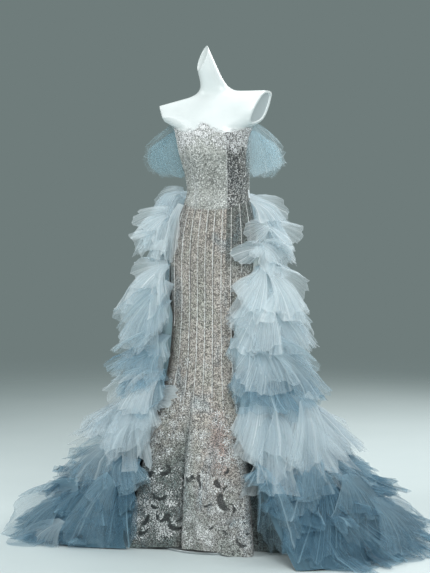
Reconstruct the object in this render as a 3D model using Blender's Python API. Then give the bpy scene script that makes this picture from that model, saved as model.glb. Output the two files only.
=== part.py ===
"""A tiered tulle fishtail gown on a limbless dress form.

Metres, +Z up. The gown faces -Y. The origin is the centre of the stand's underside.
An angle round the body is measured in degrees from the front (-Y) towards +X, the wearer's left.
"""

import math
from collections import namedtuple

import bmesh
import bpy
import numpy as np

# ---------------------------------------------------------------- driving sizes
FORM_BOTTOM = 0.800          # underside of the torso, hidden in the skirt
COLUMNS = 48                 # body panels share these columns, 7.5 degrees apart
SECTION_POWER = 2.25         # 2 is an ellipse, more is squarer
SHOULDER_TILT = 0.13         # rise of the +X shoulder per metre across
TILT_START, TILT_END = 1.335, 1.385
CUP_ANGLE, CUP_SPREAD, CUP_HEIGHT = 23.0, 17.0, 0.010
CUP_LEVEL, CUP_TALL = 1.238, 0.045

STAND_RADIUS, STAND_THICK = 0.190, 0.008
POLE_RADIUS = 0.0125
SOCKET_RADIUS, SOCKET_TALL = 0.030, 0.040

SEAM = 0.0003                # air between two sewn pieces
FORM_CLEARANCE = 0.0016      # cloth to form
BODICE_THICK = 0.0022
SKIRT_THICK = 0.0016
RIB_HEIGHT = 0.0022          # beaded cords down the skirt, on every second column
RIB_END = 0.46               # the cords fade out at this height
TULLE_THICK = 0.0012
PANEL_SEAMS = (37.5, 105.0)  # side-front and side-back seams, on both sides
ZIP_HALF_WIDTH = 0.004
ZIP_THICK = 0.0014
WAISTBAND_TOP, WAISTBAND_BOTTOM = 1.122, 1.0965
WAISTBAND_EDGES = (-67.5, 90.0)
WAISTBAND_THICK = 0.0018
BAND_CLEARANCE = 0.0014      # waistband to the bodice
SLEEVE_CLEARANCE = 0.0005    # sleeve ends to the bodice
BASE_CLEARANCE = 0.0030      # underskirt of the train to the gown
RUFFLE_SEAM = 0.0009         # ruffle's gathered edge to the underskirt it is sewn on
FLOOR_GAP = 0.0010           # cloth that lies down, above the floor
COLUMNS_PER_WAVE = 3

# ------------------------------------------------------------------- the figure
Section = namedtuple("Section", "height half_width front back shift_x shift_y")
FIGURE = (
    Section(0.700, 0.1330, 0.090, 0.118, -0.003, 0.000),
    Section(0.800, 0.1335, 0.088, 0.120, -0.003, 0.000),
    Section(0.880, 0.1360, 0.089, 0.122, -0.003, 0.000),
    Section(0.960, 0.1300, 0.088, 0.112, -0.001, 0.000),
    Section(1.030, 0.1150, 0.083, 0.092, 0.003, 0.000),
    Section(1.085, 0.0990, 0.076, 0.078, 0.008, 0.000),
    Section(1.120, 0.0930, 0.073, 0.074, 0.010, 0.000),
    Section(1.160, 0.0960, 0.077, 0.077, 0.008, 0.000),
    Section(1.200, 0.1010, 0.086, 0.082, 0.003, 0.000),
    Section(1.240, 0.1070, 0.094, 0.087, -0.002, 0.000),
    Section(1.290, 0.1140, 0.092, 0.091, -0.005, 0.000),
    Section(1.312, 0.1190, 0.086, 0.092, -0.006, 0.000),
    Section(1.326, 0.1400, 0.081, 0.091, -0.007, 0.000),
    Section(1.342, 0.1680, 0.075, 0.088, -0.009, 0.000),
    Section(1.360, 0.1960, 0.068, 0.082, -0.011, 0.000),
    Section(1.378, 0.2080, 0.060, 0.075, -0.012, 0.001),
    Section(1.394, 0.2080, 0.052, 0.067, -0.012, 0.003),
    Section(1.407, 0.1840, 0.045, 0.058, -0.012, 0.005),
    Section(1.415, 0.1260, 0.040, 0.051, -0.010, 0.006),
    Section(1.421, 0.0800, 0.037, 0.046, -0.007, 0.006),
    Section(1.430, 0.0560, 0.035, 0.042, -0.004, 0.004),
    Section(1.446, 0.0410, 0.034, 0.037, -0.005, -0.002),
    Section(1.470, 0.0340, 0.034, 0.034, -0.010, -0.012),
    Section(1.505, 0.0300, 0.033, 0.033, -0.019, -0.024),
    Section(1.600, 0.0260, 0.032, 0.032, -0.050, -0.050),
)
Cut = namedtuple("Cut", "point normal rim recess")
NECK_CUT_ABOVE, ARM_CUTS_ABOVE = 1.44, 1.284
NECK_CUT = Cut((-0.0265, -0.0395, 1.5270), (-0.729, -0.573, 0.37), 0.0, 0.0)
ARM_CUTS = {
    "left": Cut((0.152, 0.0, 1.379), (0.915, -0.197, -0.35), 0.0060, 0.0040),
    "right": Cut((-0.176, 0.0, 1.368), (-0.915, -0.197, -0.35), 0.0060, 0.0040),
}

# --------------------------------------------------------- bodice and its edges
Edge = namedtuple("Edge", "angle height")
NECKLINE = (
    Edge(0, 1.328), Edge(9, 1.318), Edge(22, 1.301), Edge(38, 1.297), Edge(60, 1.303),
    Edge(82, 1.311), Edge(105, 1.300), Edge(140, 1.268), Edge(180, 1.255),
)
BASQUE = (
    Edge(0, 1.062), Edge(37, 1.066), Edge(70, 1.084), Edge(95, 1.0925), Edge(130, 1.090),
    Edge(180, 1.084),
)
BODICE_SHARES = (1.0, 0.91, 0.81, 0.71, 0.61, 0.50, 0.38, 0.25, 0.12, 0.0)

# ------------------------------------------------------------ the fishtail skirt
HemFold = namedtuple("HemFold", "angle radius lift")
HEM_FOLDS = (
    HemFold(-160, 0.300, 0.001), HemFold(-140, 0.350, 0.001), HemFold(-120, 0.262, 0.001),
    HemFold(-100, 0.300, 0.001), HemFold(-78, 0.238, 0.001), HemFold(-54, 0.280, 0.001),
    HemFold(-34, 0.203, 0.0095), HemFold(-21, 0.168, 0.010), HemFold(-12, 0.181, 0.011),
    HemFold(4, 0.184, 0.012), HemFold(18, 0.194, 0.0105), HemFold(34, 0.225, 0.001),
    HemFold(47, 0.238, 0.001), HemFold(57, 0.196, 0.001), HemFold(76, 0.286, 0.001),
    HemFold(94, 0.240, 0.001), HemFold(112, 0.312, 0.001), HemFold(128, 0.262, 0.001),
    HemFold(145, 0.352, 0.001), HemFold(162, 0.300, 0.001), HemFold(180, 0.392, 0.001),
)
Flare = namedtuple("Flare", "height share")
SKIRT_FLARE = (
    Flare(0.00, 1.00), Flare(0.05, 0.96), Flare(0.12, 0.88), Flare(0.20, 0.79),
    Flare(0.27, 0.69), Flare(0.35, 0.53), Flare(0.42, 0.37), Flare(0.50, 0.21),
    Flare(0.60, 0.07), Flare(0.72, 0.00),
)
SKIRT_LEVELS = (1.02, 0.965, 0.91, 0.85, 0.77, 0.66, 0.54, 0.42, 0.30, 0.18, 0.08)

# -------------------------------------------------- the train and its ruffle tiers
Fall = namedtuple("Fall", "height spread left_edge right_edge")
TRAIN_FALL = (
    Fall(1.0962, 0.00, -66, 88), Fall(1.030, 0.00, -64, 82), Fall(0.950, 0.00, -61, 66),
    Fall(0.850, 0.010, -58, 52), Fall(0.750, 0.025, -55, 47), Fall(0.620, 0.050, -53, 45),
    Fall(0.480, 0.090, -52, 45), Fall(0.340, 0.160, -51, 46), Fall(0.220, 0.290, -50, 48),
    Fall(0.120, 0.510, -50, 49), Fall(0.055, 0.740, -50, 50), Fall(0.018, 0.900, -49, 50),
    Fall(0.0024, 1.000, -48, 50),
)
TrainEdge = namedtuple("TrainEdge", "angle radius")
TRAIN_PLAN = (
    TrainEdge(-180, 0.70), TrainEdge(-150, 0.68), TrainEdge(-120, 0.66), TrainEdge(-92, 0.63),
    TrainEdge(-76, 0.59), TrainEdge(-64, 0.49), TrainEdge(-54, 0.36), TrainEdge(-46, 0.29),
    TrainEdge(0, 0.27), TrainEdge(42, 0.40), TrainEdge(52, 0.47), TrainEdge(68, 0.53),
    TrainEdge(90, 0.61), TrainEdge(120, 0.65), TrainEdge(150, 0.68), TrainEdge(180, 0.70),
)
TRAIN_COLUMNS = 28
CREST_WINDOW = 14.0          # the train clears every skirt fold within this angle

Tier = namedtuple(
    "Tier", "top length reach waves depth jag left_edge right_edge left_fan right_fan turn"
)
TIERS = (
    Tier(0.006, 0.098, 0.098, 10, 0.22, 0.10, -64, 86, 4, 0, 0.0),
    Tier(0.072, 0.104, 0.118, 11, 0.24, 0.12, -62, 80, 8, 2, 1.1),
    Tier(0.140, 0.116, 0.114, 12, 0.24, 0.12, -60, 60, 12, 6, 2.5),
    Tier(0.215, 0.158, 0.135, 14, 0.24, 0.10, -56, 43, 14, 8, 0.6),
    Tier(0.325, 0.160, 0.126, 15, 0.24, 0.10, -52, 36, 16, 6, 3.4),
    Tier(0.435, 0.160, 0.116, 17, 0.24, 0.10, -50, 35, 16, 6, 1.8),
    Tier(0.545, 0.150, 0.102, 18, 0.24, 0.11, -49, 37, 18, 7, 4.2),
    Tier(0.655, 0.245, 0.098, 20, 0.24, 0.10, -48, 39, 20, 9, 0.9),
    Tier(0.855, 0.138, 0.100, 21, 0.24, 0.12, -48, 44, 18, 8, 2.2),
    Tier(0.950, 0.165, 0.096, 21, 0.24, 0.12, -47, 47, 10, 3, 5.1),
    Tier(1.070, 0.240, 0.088, 21, 0.22, 0.14, -46, 48, 0, 0, 3.0),
)
END_REACH, END_WIDTH = 0.55, 24.0   # ruffles lie flatter at their ends, within these degrees
Rise = namedtuple("Rise", "share offset")
HANGING_RISE = (Rise(0.0, 0.0), Rise(0.38, 0.68), Rise(1.0, 1.0))
RESTING_RISE = (Rise(0.0, 0.0), Rise(0.26, 0.50), Rise(0.60, 0.60), Rise(1.0, 0.08))

# ---------------------------------------------------------------- off-arm sleeves
SleeveRow = namedtuple("SleeveRow", "height reach half_angle")
SLEEVE_ROWS = (
    SleeveRow(1.307, 0.010, 11), SleeveRow(1.286, 0.050, 19), SleeveRow(1.250, 0.096, 25),
    SleeveRow(1.206, 0.110, 27), SleeveRow(1.174, 0.098, 27), SleeveRow(1.160, 0.084, 27),
)
SLEEVE_HANG = 1.307          # the puff hangs from the bodice's line at this height
SLEEVE_WAVES, SLEEVE_DEPTH = 9, 0.10
SleeveSide = namedtuple("SleeveSide", "middle fullness")
SLEEVE_SIDES = {"left": SleeveSide(106.0, 1.0), "right": SleeveSide(-95.0, 1.16)}


# --------------------------------------------------------------------- formulas
def smooth(knots, values, at):
    """A monotone cubic through a table's rows, so it never overshoots them."""
    knots, values, at = (np.asarray(a, float) for a in (knots, values, at))
    step = np.diff(knots)
    slope = np.diff(values) / step
    tangent = np.concatenate([slope[:1], np.zeros(len(slope) - 1), slope[-1:]])
    same_way = slope[:-1] * slope[1:] > 0
    inner = np.zeros(len(slope) - 1)
    inner[same_way] = 2 / (1 / slope[:-1][same_way] + 1 / slope[1:][same_way])
    tangent[1:-1] = inner
    at = np.clip(at, knots[0], knots[-1])
    i = np.clip(np.searchsorted(knots, at, side="right") - 1, 0, len(step) - 1)
    t = (at - knots[i]) / step[i]
    return (
        (1 + 2 * t) * (1 - t) ** 2 * values[i]
        + t * (1 - t) ** 2 * step[i] * tangent[i]
        + t * t * (3 - 2 * t) * values[i + 1]
        - t * t * (1 - t) * step[i] * tangent[i + 1]
    )


def column(table, key, name, at):
    """Reads one column of a table at the positions `at` of its key column."""
    return smooth([getattr(row, key) for row in table], [getattr(row, name) for row in table], at)


def wrapped(angle):
    return (np.asarray(angle, float) + 180.0) % 360.0 - 180.0


def smoothstep(low, high, at):
    t = np.clip((np.asarray(at, float) - low) / (high - low), 0, 1)
    return t * t * (3 - 2 * t)


def edge_height(table, angle):
    """A mirrored edge, such as the neckline: its height at an angle on either side."""
    return column(table, "angle", "height", np.abs(wrapped(angle)))


def figure_radius(height, angle):
    """The dress form's radius: a squared ellipse with its own front and back depth, and cups."""
    turn = np.radians(angle)
    across = column(FIGURE, "height", "half_width", height)
    front = column(FIGURE, "height", "front", height)
    back = column(FIGURE, "height", "back", height)
    depth = np.where(np.cos(turn) > 0, front, back)
    power = SECTION_POWER
    radius = (
        (np.abs(np.sin(turn)) / across) ** power + (np.abs(np.cos(turn)) / depth) ** power
    ) ** (-1 / power)
    beside = (np.abs(wrapped(angle)) - CUP_ANGLE) / CUP_SPREAD
    above = (height - CUP_LEVEL) / CUP_TALL
    return radius + CUP_HEIGHT * np.exp(-(beside**2) - above**2)


def placed(radius, height, angle):
    """Points at a radius round the figure's own axis, which bends with the pose."""
    height = np.asarray(height, float) + 0 * radius
    turn = np.radians(angle)
    x = radius * np.sin(turn) + column(FIGURE, "height", "shift_x", height)
    y = -radius * np.cos(turn) + column(FIGURE, "height", "shift_y", height)
    z = height + x * SHOULDER_TILT * smoothstep(TILT_START, TILT_END, height)
    return np.stack(np.broadcast_arrays(x, y, z), -1)


def hem_value(name, angle):
    """A column of the hem table, read round the closed hem."""
    rows = [row for row in HEM_FOLDS for _ in (0, 1, 2)]
    turns = [row.angle + lap for row in HEM_FOLDS for lap in (-360, 0, 360)]
    values = [getattr(row, name) for row in rows]
    order = np.argsort(turns)
    return smooth(np.array(turns)[order], np.array(values)[order], wrapped(angle))


def skirt_radius(height, angle):
    """The inside of the skirt: the figure above the knee, opening into the hem's folds."""
    above = figure_radius(np.maximum(height, FIGURE[0].height), angle) + FORM_CLEARANCE
    share = column(SKIRT_FLARE, "height", "share", height)
    return above + (hem_value("radius", angle) - above) * share


def train_radius(height, spread, angle):
    """The train's underskirt: close to the gown at the waist, out to its plan on the floor."""
    window = np.linspace(-CREST_WINDOW, CREST_WINDOW, 7)
    near = angle[..., None, None] + window[:, None] + 0.8 * window
    close = skirt_radius(np.asarray(height)[..., None, None], near).max(-2).mean(-1)
    close = close + SKIRT_THICK + RIB_HEIGHT + BASE_CLEARANCE
    plan = column(TRAIN_PLAN, "angle", "radius", wrapped(angle))
    return close + (plan - close) * spread


def train_profile(drop, angle):
    """Radius and height of the underskirt, `drop` metres down the fall at the train's side."""
    levels = np.array([row.height for row in TRAIN_FALL])
    spreads = np.array([row.spread for row in TRAIN_FALL])
    side = train_radius(levels, spreads, np.full(len(levels), 90.0))
    lengths = np.concatenate([[0], np.cumsum(np.hypot(np.diff(side), np.diff(levels)))])
    height = smooth(lengths, levels, drop)
    spread = smooth(lengths, spreads, drop)
    beyond = np.maximum(drop - lengths[-1], 0)
    return train_radius(height, spread, angle) + beyond, height


def train_point(drop, angle, offset):
    """A point `offset` off the underskirt, square to its fall: outwards, and up on the floor."""
    step = 0.004
    radius, height = train_profile(drop, angle)
    low_radius, low_height = train_profile(drop + step, angle)
    top_radius, top_height = train_profile(np.maximum(drop - step, 0), angle)
    along, down = low_radius - top_radius, low_height - top_height
    length = np.hypot(along, down)
    return placed(radius - offset * down / length, height + offset * along / length, angle)


def train_length():
    """The underskirt's whole fall at the side, in metres."""
    levels = np.array([row.height for row in TRAIN_FALL])
    spreads = np.array([row.spread for row in TRAIN_FALL])
    side = train_radius(levels, spreads, np.full(len(levels), 90.0))
    return float(np.hypot(np.diff(side), np.diff(levels)).sum())


# ----------------------------------------------------------------- mesh helpers
def finish_object(name, mesh, material):
    item = bpy.data.objects.new(name, mesh)
    item.data.materials.append(material)
    bpy.data.collections[COLLECTION].objects.link(item)
    return item


def cloth_wall(name, inside, outside, material):
    """A closed wall between two grids of points, rows from top to bottom, columns by angle."""
    rows, columns = inside.shape[:2]
    mesh_builder = bmesh.new()
    inner = [[mesh_builder.verts.new(p) for p in row] for row in inside.tolist()]
    outer = [[mesh_builder.verts.new(p) for p in row] for row in outside.tolist()]
    face = mesh_builder.faces.new
    for i in range(rows - 1):
        for j in range(columns - 1):
            face((outer[i][j], outer[i + 1][j], outer[i + 1][j + 1], outer[i][j + 1]))
            face((inner[i][j], inner[i][j + 1], inner[i + 1][j + 1], inner[i + 1][j]))
        for j, order in ((0, 1), (columns - 1, -1)):
            side = (outer[i][j], inner[i][j], inner[i + 1][j], outer[i + 1][j])
            face(side[::order])
    for j in range(columns - 1):
        for i, order in ((0, 1), (rows - 1, -1)):
            rim = (outer[i][j], outer[i][j + 1], inner[i][j + 1], inner[i][j])
            face(rim[::order])
    mesh = bpy.data.meshes.new(name)
    mesh_builder.to_mesh(mesh)
    mesh_builder.free()
    return finish_object(name, mesh, material)


def grid_normals(points):
    """Unit normals of a grid of points, away from the body."""
    down = np.gradient(points, axis=0)
    around = np.gradient(points, axis=1)
    normal = np.cross(down, around)
    return normal / np.linalg.norm(normal, axis=-1, keepdims=True)


def principled(name, colour, roughness, metallic=0.0):
    material = bpy.data.materials.new(name)
    material.use_nodes = True
    shader = material.node_tree.nodes["Principled BSDF"]
    shader.inputs["Base Color"].default_value = (*colour, 1)
    shader.inputs["Roughness"].default_value = roughness
    shader.inputs["Metallic"].default_value = metallic
    return material


# -------------------------------------------------------------------- the stand
def cylinder(name, radius, bottom, top, segments, material):
    bpy.ops.mesh.primitive_cylinder_add(
        vertices=segments, radius=radius, depth=top - bottom, location=(0, 0, (top + bottom) / 2)
    )
    item = bpy.context.object
    item.name = name
    item.data.materials.append(material)
    item.users_collection[0].objects.unlink(item)
    bpy.data.collections[COLLECTION].objects.link(item)
    return item


def build_stand(metal):
    cylinder("stand_base", STAND_RADIUS, 0, STAND_THICK, 48, metal)
    socket_bottom = FORM_BOTTOM - SEAM - SOCKET_TALL
    cylinder("stand_pole", POLE_RADIUS, STAND_THICK + SEAM, socket_bottom - SEAM, 20, metal)
    cylinder("form_socket", SOCKET_RADIUS, socket_bottom, FORM_BOTTOM - SEAM, 24, metal)


def cut_flat(mesh_builder, cut, lowest):
    """Cuts the form above a height along a plane, and closes it with a plate inside the rim."""
    faces = [f for f in mesh_builder.faces if min(v.co.z for v in f.verts) > lowest]
    edges = {edge for face in faces for edge in face.edges}
    corners = {corner for face in faces for corner in face.verts}
    bmesh.ops.bisect_plane(
        mesh_builder,
        geom=[*corners, *edges, *faces],
        plane_co=cut.point,
        plane_no=cut.normal,
        clear_outer=True,
    )
    open_edges = [edge for edge in mesh_builder.edges if edge.is_boundary]
    plate = bmesh.ops.edgeloop_fill(mesh_builder, edges=open_edges)["faces"]
    inward = -np.array(cut.normal) / np.linalg.norm(cut.normal)
    for narrower, deeper in ((cut.rim, 0), (0, cut.recess)):
        if narrower or deeper:
            plate = bmesh.ops.extrude_discrete_faces(mesh_builder, faces=plate)["faces"]
            centre = plate[0].calc_center_median()
            for corner in plate[0].verts:
                spoke = centre - corner.co
                corner.co += spoke.normalized() * narrower
                corner.co += type(spoke)(inward * deeper)


def build_form(shell):
    """The limbless torso: hips to shoulders, arms and neck cut flat."""
    angles = np.arange(COLUMNS) * 360.0 / COLUMNS
    own_levels = [row.height for row in FIGURE if row.height > BASQUE[0].height]
    levels = sorted({FORM_BOTTOM, *SKIRT_LEVELS[:3:2], *own_levels})
    mesh_builder = bmesh.new()
    rings = []
    for level in levels:
        points = placed(figure_radius(level, angles), level, angles)
        rings.append([mesh_builder.verts.new(p) for p in points.tolist()])
    for low, high in zip(rings, rings[1:]):
        for j in range(COLUMNS):
            k = (j + 1) % COLUMNS
            mesh_builder.faces.new((low[j], low[k], high[k], high[j]))
    mesh_builder.faces.new(rings[0][::-1])
    mesh_builder.faces.new(rings[-1])
    cut_flat(mesh_builder, NECK_CUT, NECK_CUT_ABOVE)
    for cut in ARM_CUTS.values():
        cut_flat(mesh_builder, cut, ARM_CUTS_ABOVE)
    bmesh.ops.recalc_face_normals(mesh_builder, faces=mesh_builder.faces[:])
    mesh = bpy.data.meshes.new("form_torso")
    mesh_builder.to_mesh(mesh)
    mesh_builder.free()
    mesh.shade_smooth()
    mesh.set_sharp_from_angle(angle=math.radians(40))
    finish_object("form_torso", mesh, shell)


# ------------------------------------------------------------- bodice and skirt
def panel_angles(start, end, trim_radius, trim_start, trim_end):
    """The shared columns from one seam to the next, drawn in from each seam by its trim."""
    step = 360.0 / COLUMNS
    count = int(round((end - start) / step)) + 1
    angles = np.linspace(start, end, count)
    angles[0] += math.degrees(trim_start / trim_radius)
    angles[-1] -= math.degrees(trim_end / trim_radius)
    return angles


def body_panels():
    """Name and seams of each panel, with what it keeps clear of at either edge."""
    front, back = PANEL_SEAMS
    half = SEAM / 2
    closure = ZIP_HALF_WIDTH + SEAM
    return (
        ("front", -front, front, half, half),
        ("side_left", front, back, half, half),
        ("back_left", back, 180.0, half, closure),
        ("back_right", -180.0, -back, closure, half),
        ("side_right", -back, -front, half, half),
    )


def build_bodice(beaded):
    for name, start, end, trim_start, trim_end in body_panels():
        angles = panel_angles(start, end, 0.10, trim_start, trim_end)
        top, bottom = edge_height(NECKLINE, angles), edge_height(BASQUE, angles)
        heights = np.array([bottom + (top - bottom) * share for share in BODICE_SHARES])
        turns = np.broadcast_to(angles, heights.shape)
        inside = figure_radius(heights, turns) + FORM_CLEARANCE
        cloth_wall(
            f"bodice_{name}",
            placed(inside, heights, turns),
            placed(inside + BODICE_THICK, heights, turns),
            beaded,
        )


def build_zip(tape):
    """The closed centre-back zip, a plain strip between the two back panels."""
    half_angle = math.degrees(ZIP_HALF_WIDTH / 0.10)
    top, bottom = edge_height(NECKLINE, 180.0), edge_height(BASQUE, 180.0 - 2 * half_angle)
    heights = np.array([bottom + (top - bottom) * share for share in BODICE_SHARES])
    turns = np.broadcast_to([180.0 - half_angle, 180.0 + half_angle], (len(heights), 2))
    heights = np.broadcast_to(heights[:, None], turns.shape)
    inside = figure_radius(heights, turns) + FORM_CLEARANCE
    cloth_wall(
        "back_zip",
        placed(inside, heights, turns),
        placed(inside + ZIP_THICK, heights, turns),
        tape,
    )


def build_skirt(lace):
    """Five gores. Every second column carries a raised cord that fades above the flare."""
    half = SEAM / 2
    for name, start, end, _, _ in body_panels():
        angles = panel_angles(start, end, 0.13, half, half)
        top = edge_height(BASQUE, angles) - SEAM
        hem = hem_value("lift", angles)
        levels = [np.full(len(angles), level) for level in SKIRT_LEVELS]
        heights = np.array([top, *levels, hem])
        turns = np.broadcast_to(angles, heights.shape)
        inside = skirt_radius(heights, turns)
        first = int(round(start * COLUMNS / 360.0))
        on_cord = (np.arange(len(angles)) + first) % 2 == 0
        raised = RIB_HEIGHT * smoothstep(RIB_END, RIB_END + 0.2, heights) * on_cord
        raised[0] = 0
        cloth_wall(
            f"skirt_{name}",
            placed(inside, heights, turns),
            placed(inside + SKIRT_THICK + raised, heights, turns),
            lace,
        )


# ------------------------------------------------------------ train and ruffles
def build_waistband(tulle):
    right, left = WAISTBAND_EDGES
    angles = np.arange(left, 360.0 + right + 0.1, 360.0 / COLUMNS)
    heights = np.array([[WAISTBAND_TOP], [WAISTBAND_BOTTOM]]) + 0 * angles
    turns = np.broadcast_to(angles, heights.shape)
    inside = figure_radius(heights, turns) + FORM_CLEARANCE + BODICE_THICK + BAND_CLEARANCE
    cloth_wall(
        "train_waistband",
        placed(inside, heights, turns),
        placed(inside + WAISTBAND_THICK, heights, turns),
        tulle,
    )


def wall_off_train(name, drops, angles, offsets, thick, material):
    """A wall of cloth at given offsets from the underskirt, kept above the floor."""
    centre = train_point(drops, angles, offsets)
    normal = grid_normals(centre)
    inside, outside = centre - normal * thick / 2, centre + normal * thick / 2
    lowest = np.minimum(inside[..., 2], outside[..., 2]).min(axis=1)
    lift = np.maximum(FLOOR_GAP - lowest, 0)[:, None]
    inside[..., 2] += lift
    outside[..., 2] += lift
    return cloth_wall(name, inside, outside, material)


def build_underskirt(tulle):
    """The two halves of the train's plain underskirt, joined down the centre back."""
    drops = np.array([0, 0.035, *[tier.top for tier in TIERS[1:]], 1.15, train_length()])
    heights = train_profile(drops, np.full(len(drops), 90.0))[1]
    left_edge = column(TRAIN_FALL[::-1], "height", "left_edge", heights)[:, None]
    right_edge = column(TRAIN_FALL[::-1], "height", "right_edge", heights)[:, None]
    across = np.linspace(0, 1, TRAIN_COLUMNS // 2 + 1)[None, :]
    seam = math.degrees(SEAM / 2 / 0.09)
    halves = {
        "left": right_edge + (180.0 - seam - right_edge) * across,
        "right": 180.0 + seam + (180.0 - seam + left_edge) * across,
    }
    for side, angles in halves.items():
        grid = np.broadcast_to(drops[:, None], angles.shape)
        wall_off_train(f"train_{side}", grid, angles, 0 * grid, TULLE_THICK, tulle)


def build_tier(number, tier, rise, tulle):
    """One gathered strip: tight at its seam, standing off in waves at its free edge."""
    columns = tier.waves * COLUMNS_PER_WAVE + 1
    around = np.linspace(0, 1, columns)
    phase = 2 * math.pi * tier.waves * around + tier.turn
    slow = 0.8 + 0.2 * np.sin(3 * math.pi * around + tier.turn)
    share = np.array([row.share for row in rise])[:, None]
    offset = np.array([row.offset for row in rise])[:, None]
    start = tier.right_edge - tier.right_fan * share
    end = 360.0 + tier.left_edge + tier.left_fan * share
    angles = start + (end - start) * around
    drops = tier.top + tier.length * share * (1 + tier.jag * share * np.cos(phase) * slow)
    waves = tier.depth * share**0.5 * np.cos(phase) * slow
    near_end = np.minimum(angles[:1] - angles[0, 0], angles[0, -1] - angles[:1])
    flatter = END_REACH + (1 - END_REACH) * smoothstep(0, END_WIDTH, near_end)
    stands_off = tier.reach * offset * (1 + waves) * flatter + TULLE_THICK
    stands_off = stands_off + RUFFLE_SEAM * (1 + 0.4 * tier.top)
    wall_off_train(f"ruffle_{number:02d}", drops, angles, stands_off, TULLE_THICK, tulle)


def build_sleeve(side, tulle):
    """An off-the-arm puff: a loop of gathered tulle from the bodice front to its back."""
    columns = SLEEVE_WAVES * COLUMNS_PER_WAVE + 1
    around = np.linspace(-1, 1, columns)
    height = np.array([row.height for row in SLEEVE_ROWS])[:, None]
    reach = np.array([row.reach for row in SLEEVE_ROWS])[:, None]
    half_angle = np.array([row.half_angle for row in SLEEVE_ROWS])[:, None]
    reach = reach * SLEEVE_SIDES[side].fullness
    angles = SLEEVE_SIDES[side].middle + half_angle * around
    bow = np.clip(1 - around**2, 0, 1) ** 0.6
    gathers = 1 + SLEEVE_DEPTH * (1 - around**2) * np.cos(math.pi * SLEEVE_WAVES * around)
    against = np.minimum(height, SLEEVE_HANG) + 0 * angles
    start = figure_radius(against, angles) + FORM_CLEARANCE + BODICE_THICK + SLEEVE_CLEARANCE
    centre = placed(start + TULLE_THICK / 2 + reach * bow * gathers, height + 0 * angles, angles)
    normal = grid_normals(centre)
    cloth_wall(
        f"sleeve_{side}",
        centre - normal * TULLE_THICK / 2,
        centre + normal * TULLE_THICK / 2,
        tulle,
    )


# ------------------------------------------------------------------- everything
COLLECTION = "fishtail_gown_on_dress_form"


def main():
    for item in list(bpy.data.objects):
        bpy.data.objects.remove(item)
    bpy.context.scene.collection.children.link(bpy.data.collections.new(COLLECTION))

    shell = principled("form shell", (0.88, 0.92, 0.92), 0.35)
    metal = principled("stand metal", (0.42, 0.45, 0.46), 0.35, 0.9)
    beaded = principled("beaded bodice", (0.42, 0.43, 0.42), 0.4)
    lace = principled("beaded lace skirt", (0.30, 0.31, 0.29), 0.5)
    tape = principled("zip tape", (0.30, 0.31, 0.30), 0.7)
    pale = principled("pale tulle", (0.60, 0.68, 0.72), 0.8)
    mid = principled("mid blue tulle", (0.30, 0.42, 0.49), 0.8)
    deep = principled("deep blue tulle", (0.13, 0.22, 0.29), 0.8)

    build_stand(metal)
    build_form(shell)
    build_bodice(beaded)
    build_zip(tape)
    build_skirt(lace)
    build_waistband(pale)
    build_underskirt(mid)
    tier_tulle = (pale,) * 6 + (mid, pale, mid, deep, deep)
    for number, (tier, tulle) in enumerate(zip(TIERS, tier_tulle), start=1):
        rise = RESTING_RISE if number == len(TIERS) else HANGING_RISE
        build_tier(number, tier, rise, tulle)
    build_sleeve("left", mid)
    build_sleeve("right", mid)


main()
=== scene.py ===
import math

import bmesh
import bpy
import numpy as np
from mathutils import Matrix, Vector


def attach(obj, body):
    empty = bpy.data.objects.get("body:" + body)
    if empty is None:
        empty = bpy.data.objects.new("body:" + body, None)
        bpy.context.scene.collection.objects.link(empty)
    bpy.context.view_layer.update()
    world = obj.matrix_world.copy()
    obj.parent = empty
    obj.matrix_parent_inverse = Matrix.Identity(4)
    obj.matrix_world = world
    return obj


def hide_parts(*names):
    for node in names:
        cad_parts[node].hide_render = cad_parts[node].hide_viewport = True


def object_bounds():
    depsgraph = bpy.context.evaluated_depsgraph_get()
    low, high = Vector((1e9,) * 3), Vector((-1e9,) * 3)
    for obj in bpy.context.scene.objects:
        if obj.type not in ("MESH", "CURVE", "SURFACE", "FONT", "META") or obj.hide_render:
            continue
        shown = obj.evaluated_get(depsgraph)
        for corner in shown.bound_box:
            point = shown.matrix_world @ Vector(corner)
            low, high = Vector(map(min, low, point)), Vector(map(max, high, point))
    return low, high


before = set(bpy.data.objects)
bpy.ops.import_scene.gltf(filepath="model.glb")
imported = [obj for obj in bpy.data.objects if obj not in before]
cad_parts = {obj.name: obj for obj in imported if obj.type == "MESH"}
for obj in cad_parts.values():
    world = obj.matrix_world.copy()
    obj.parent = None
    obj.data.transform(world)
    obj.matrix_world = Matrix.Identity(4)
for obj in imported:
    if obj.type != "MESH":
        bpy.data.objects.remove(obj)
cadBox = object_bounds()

# Metres, Z up, the gown faces -Y. Angles round the body are degrees from the front towards the wearer's left.
scene = bpy.context.scene

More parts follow.
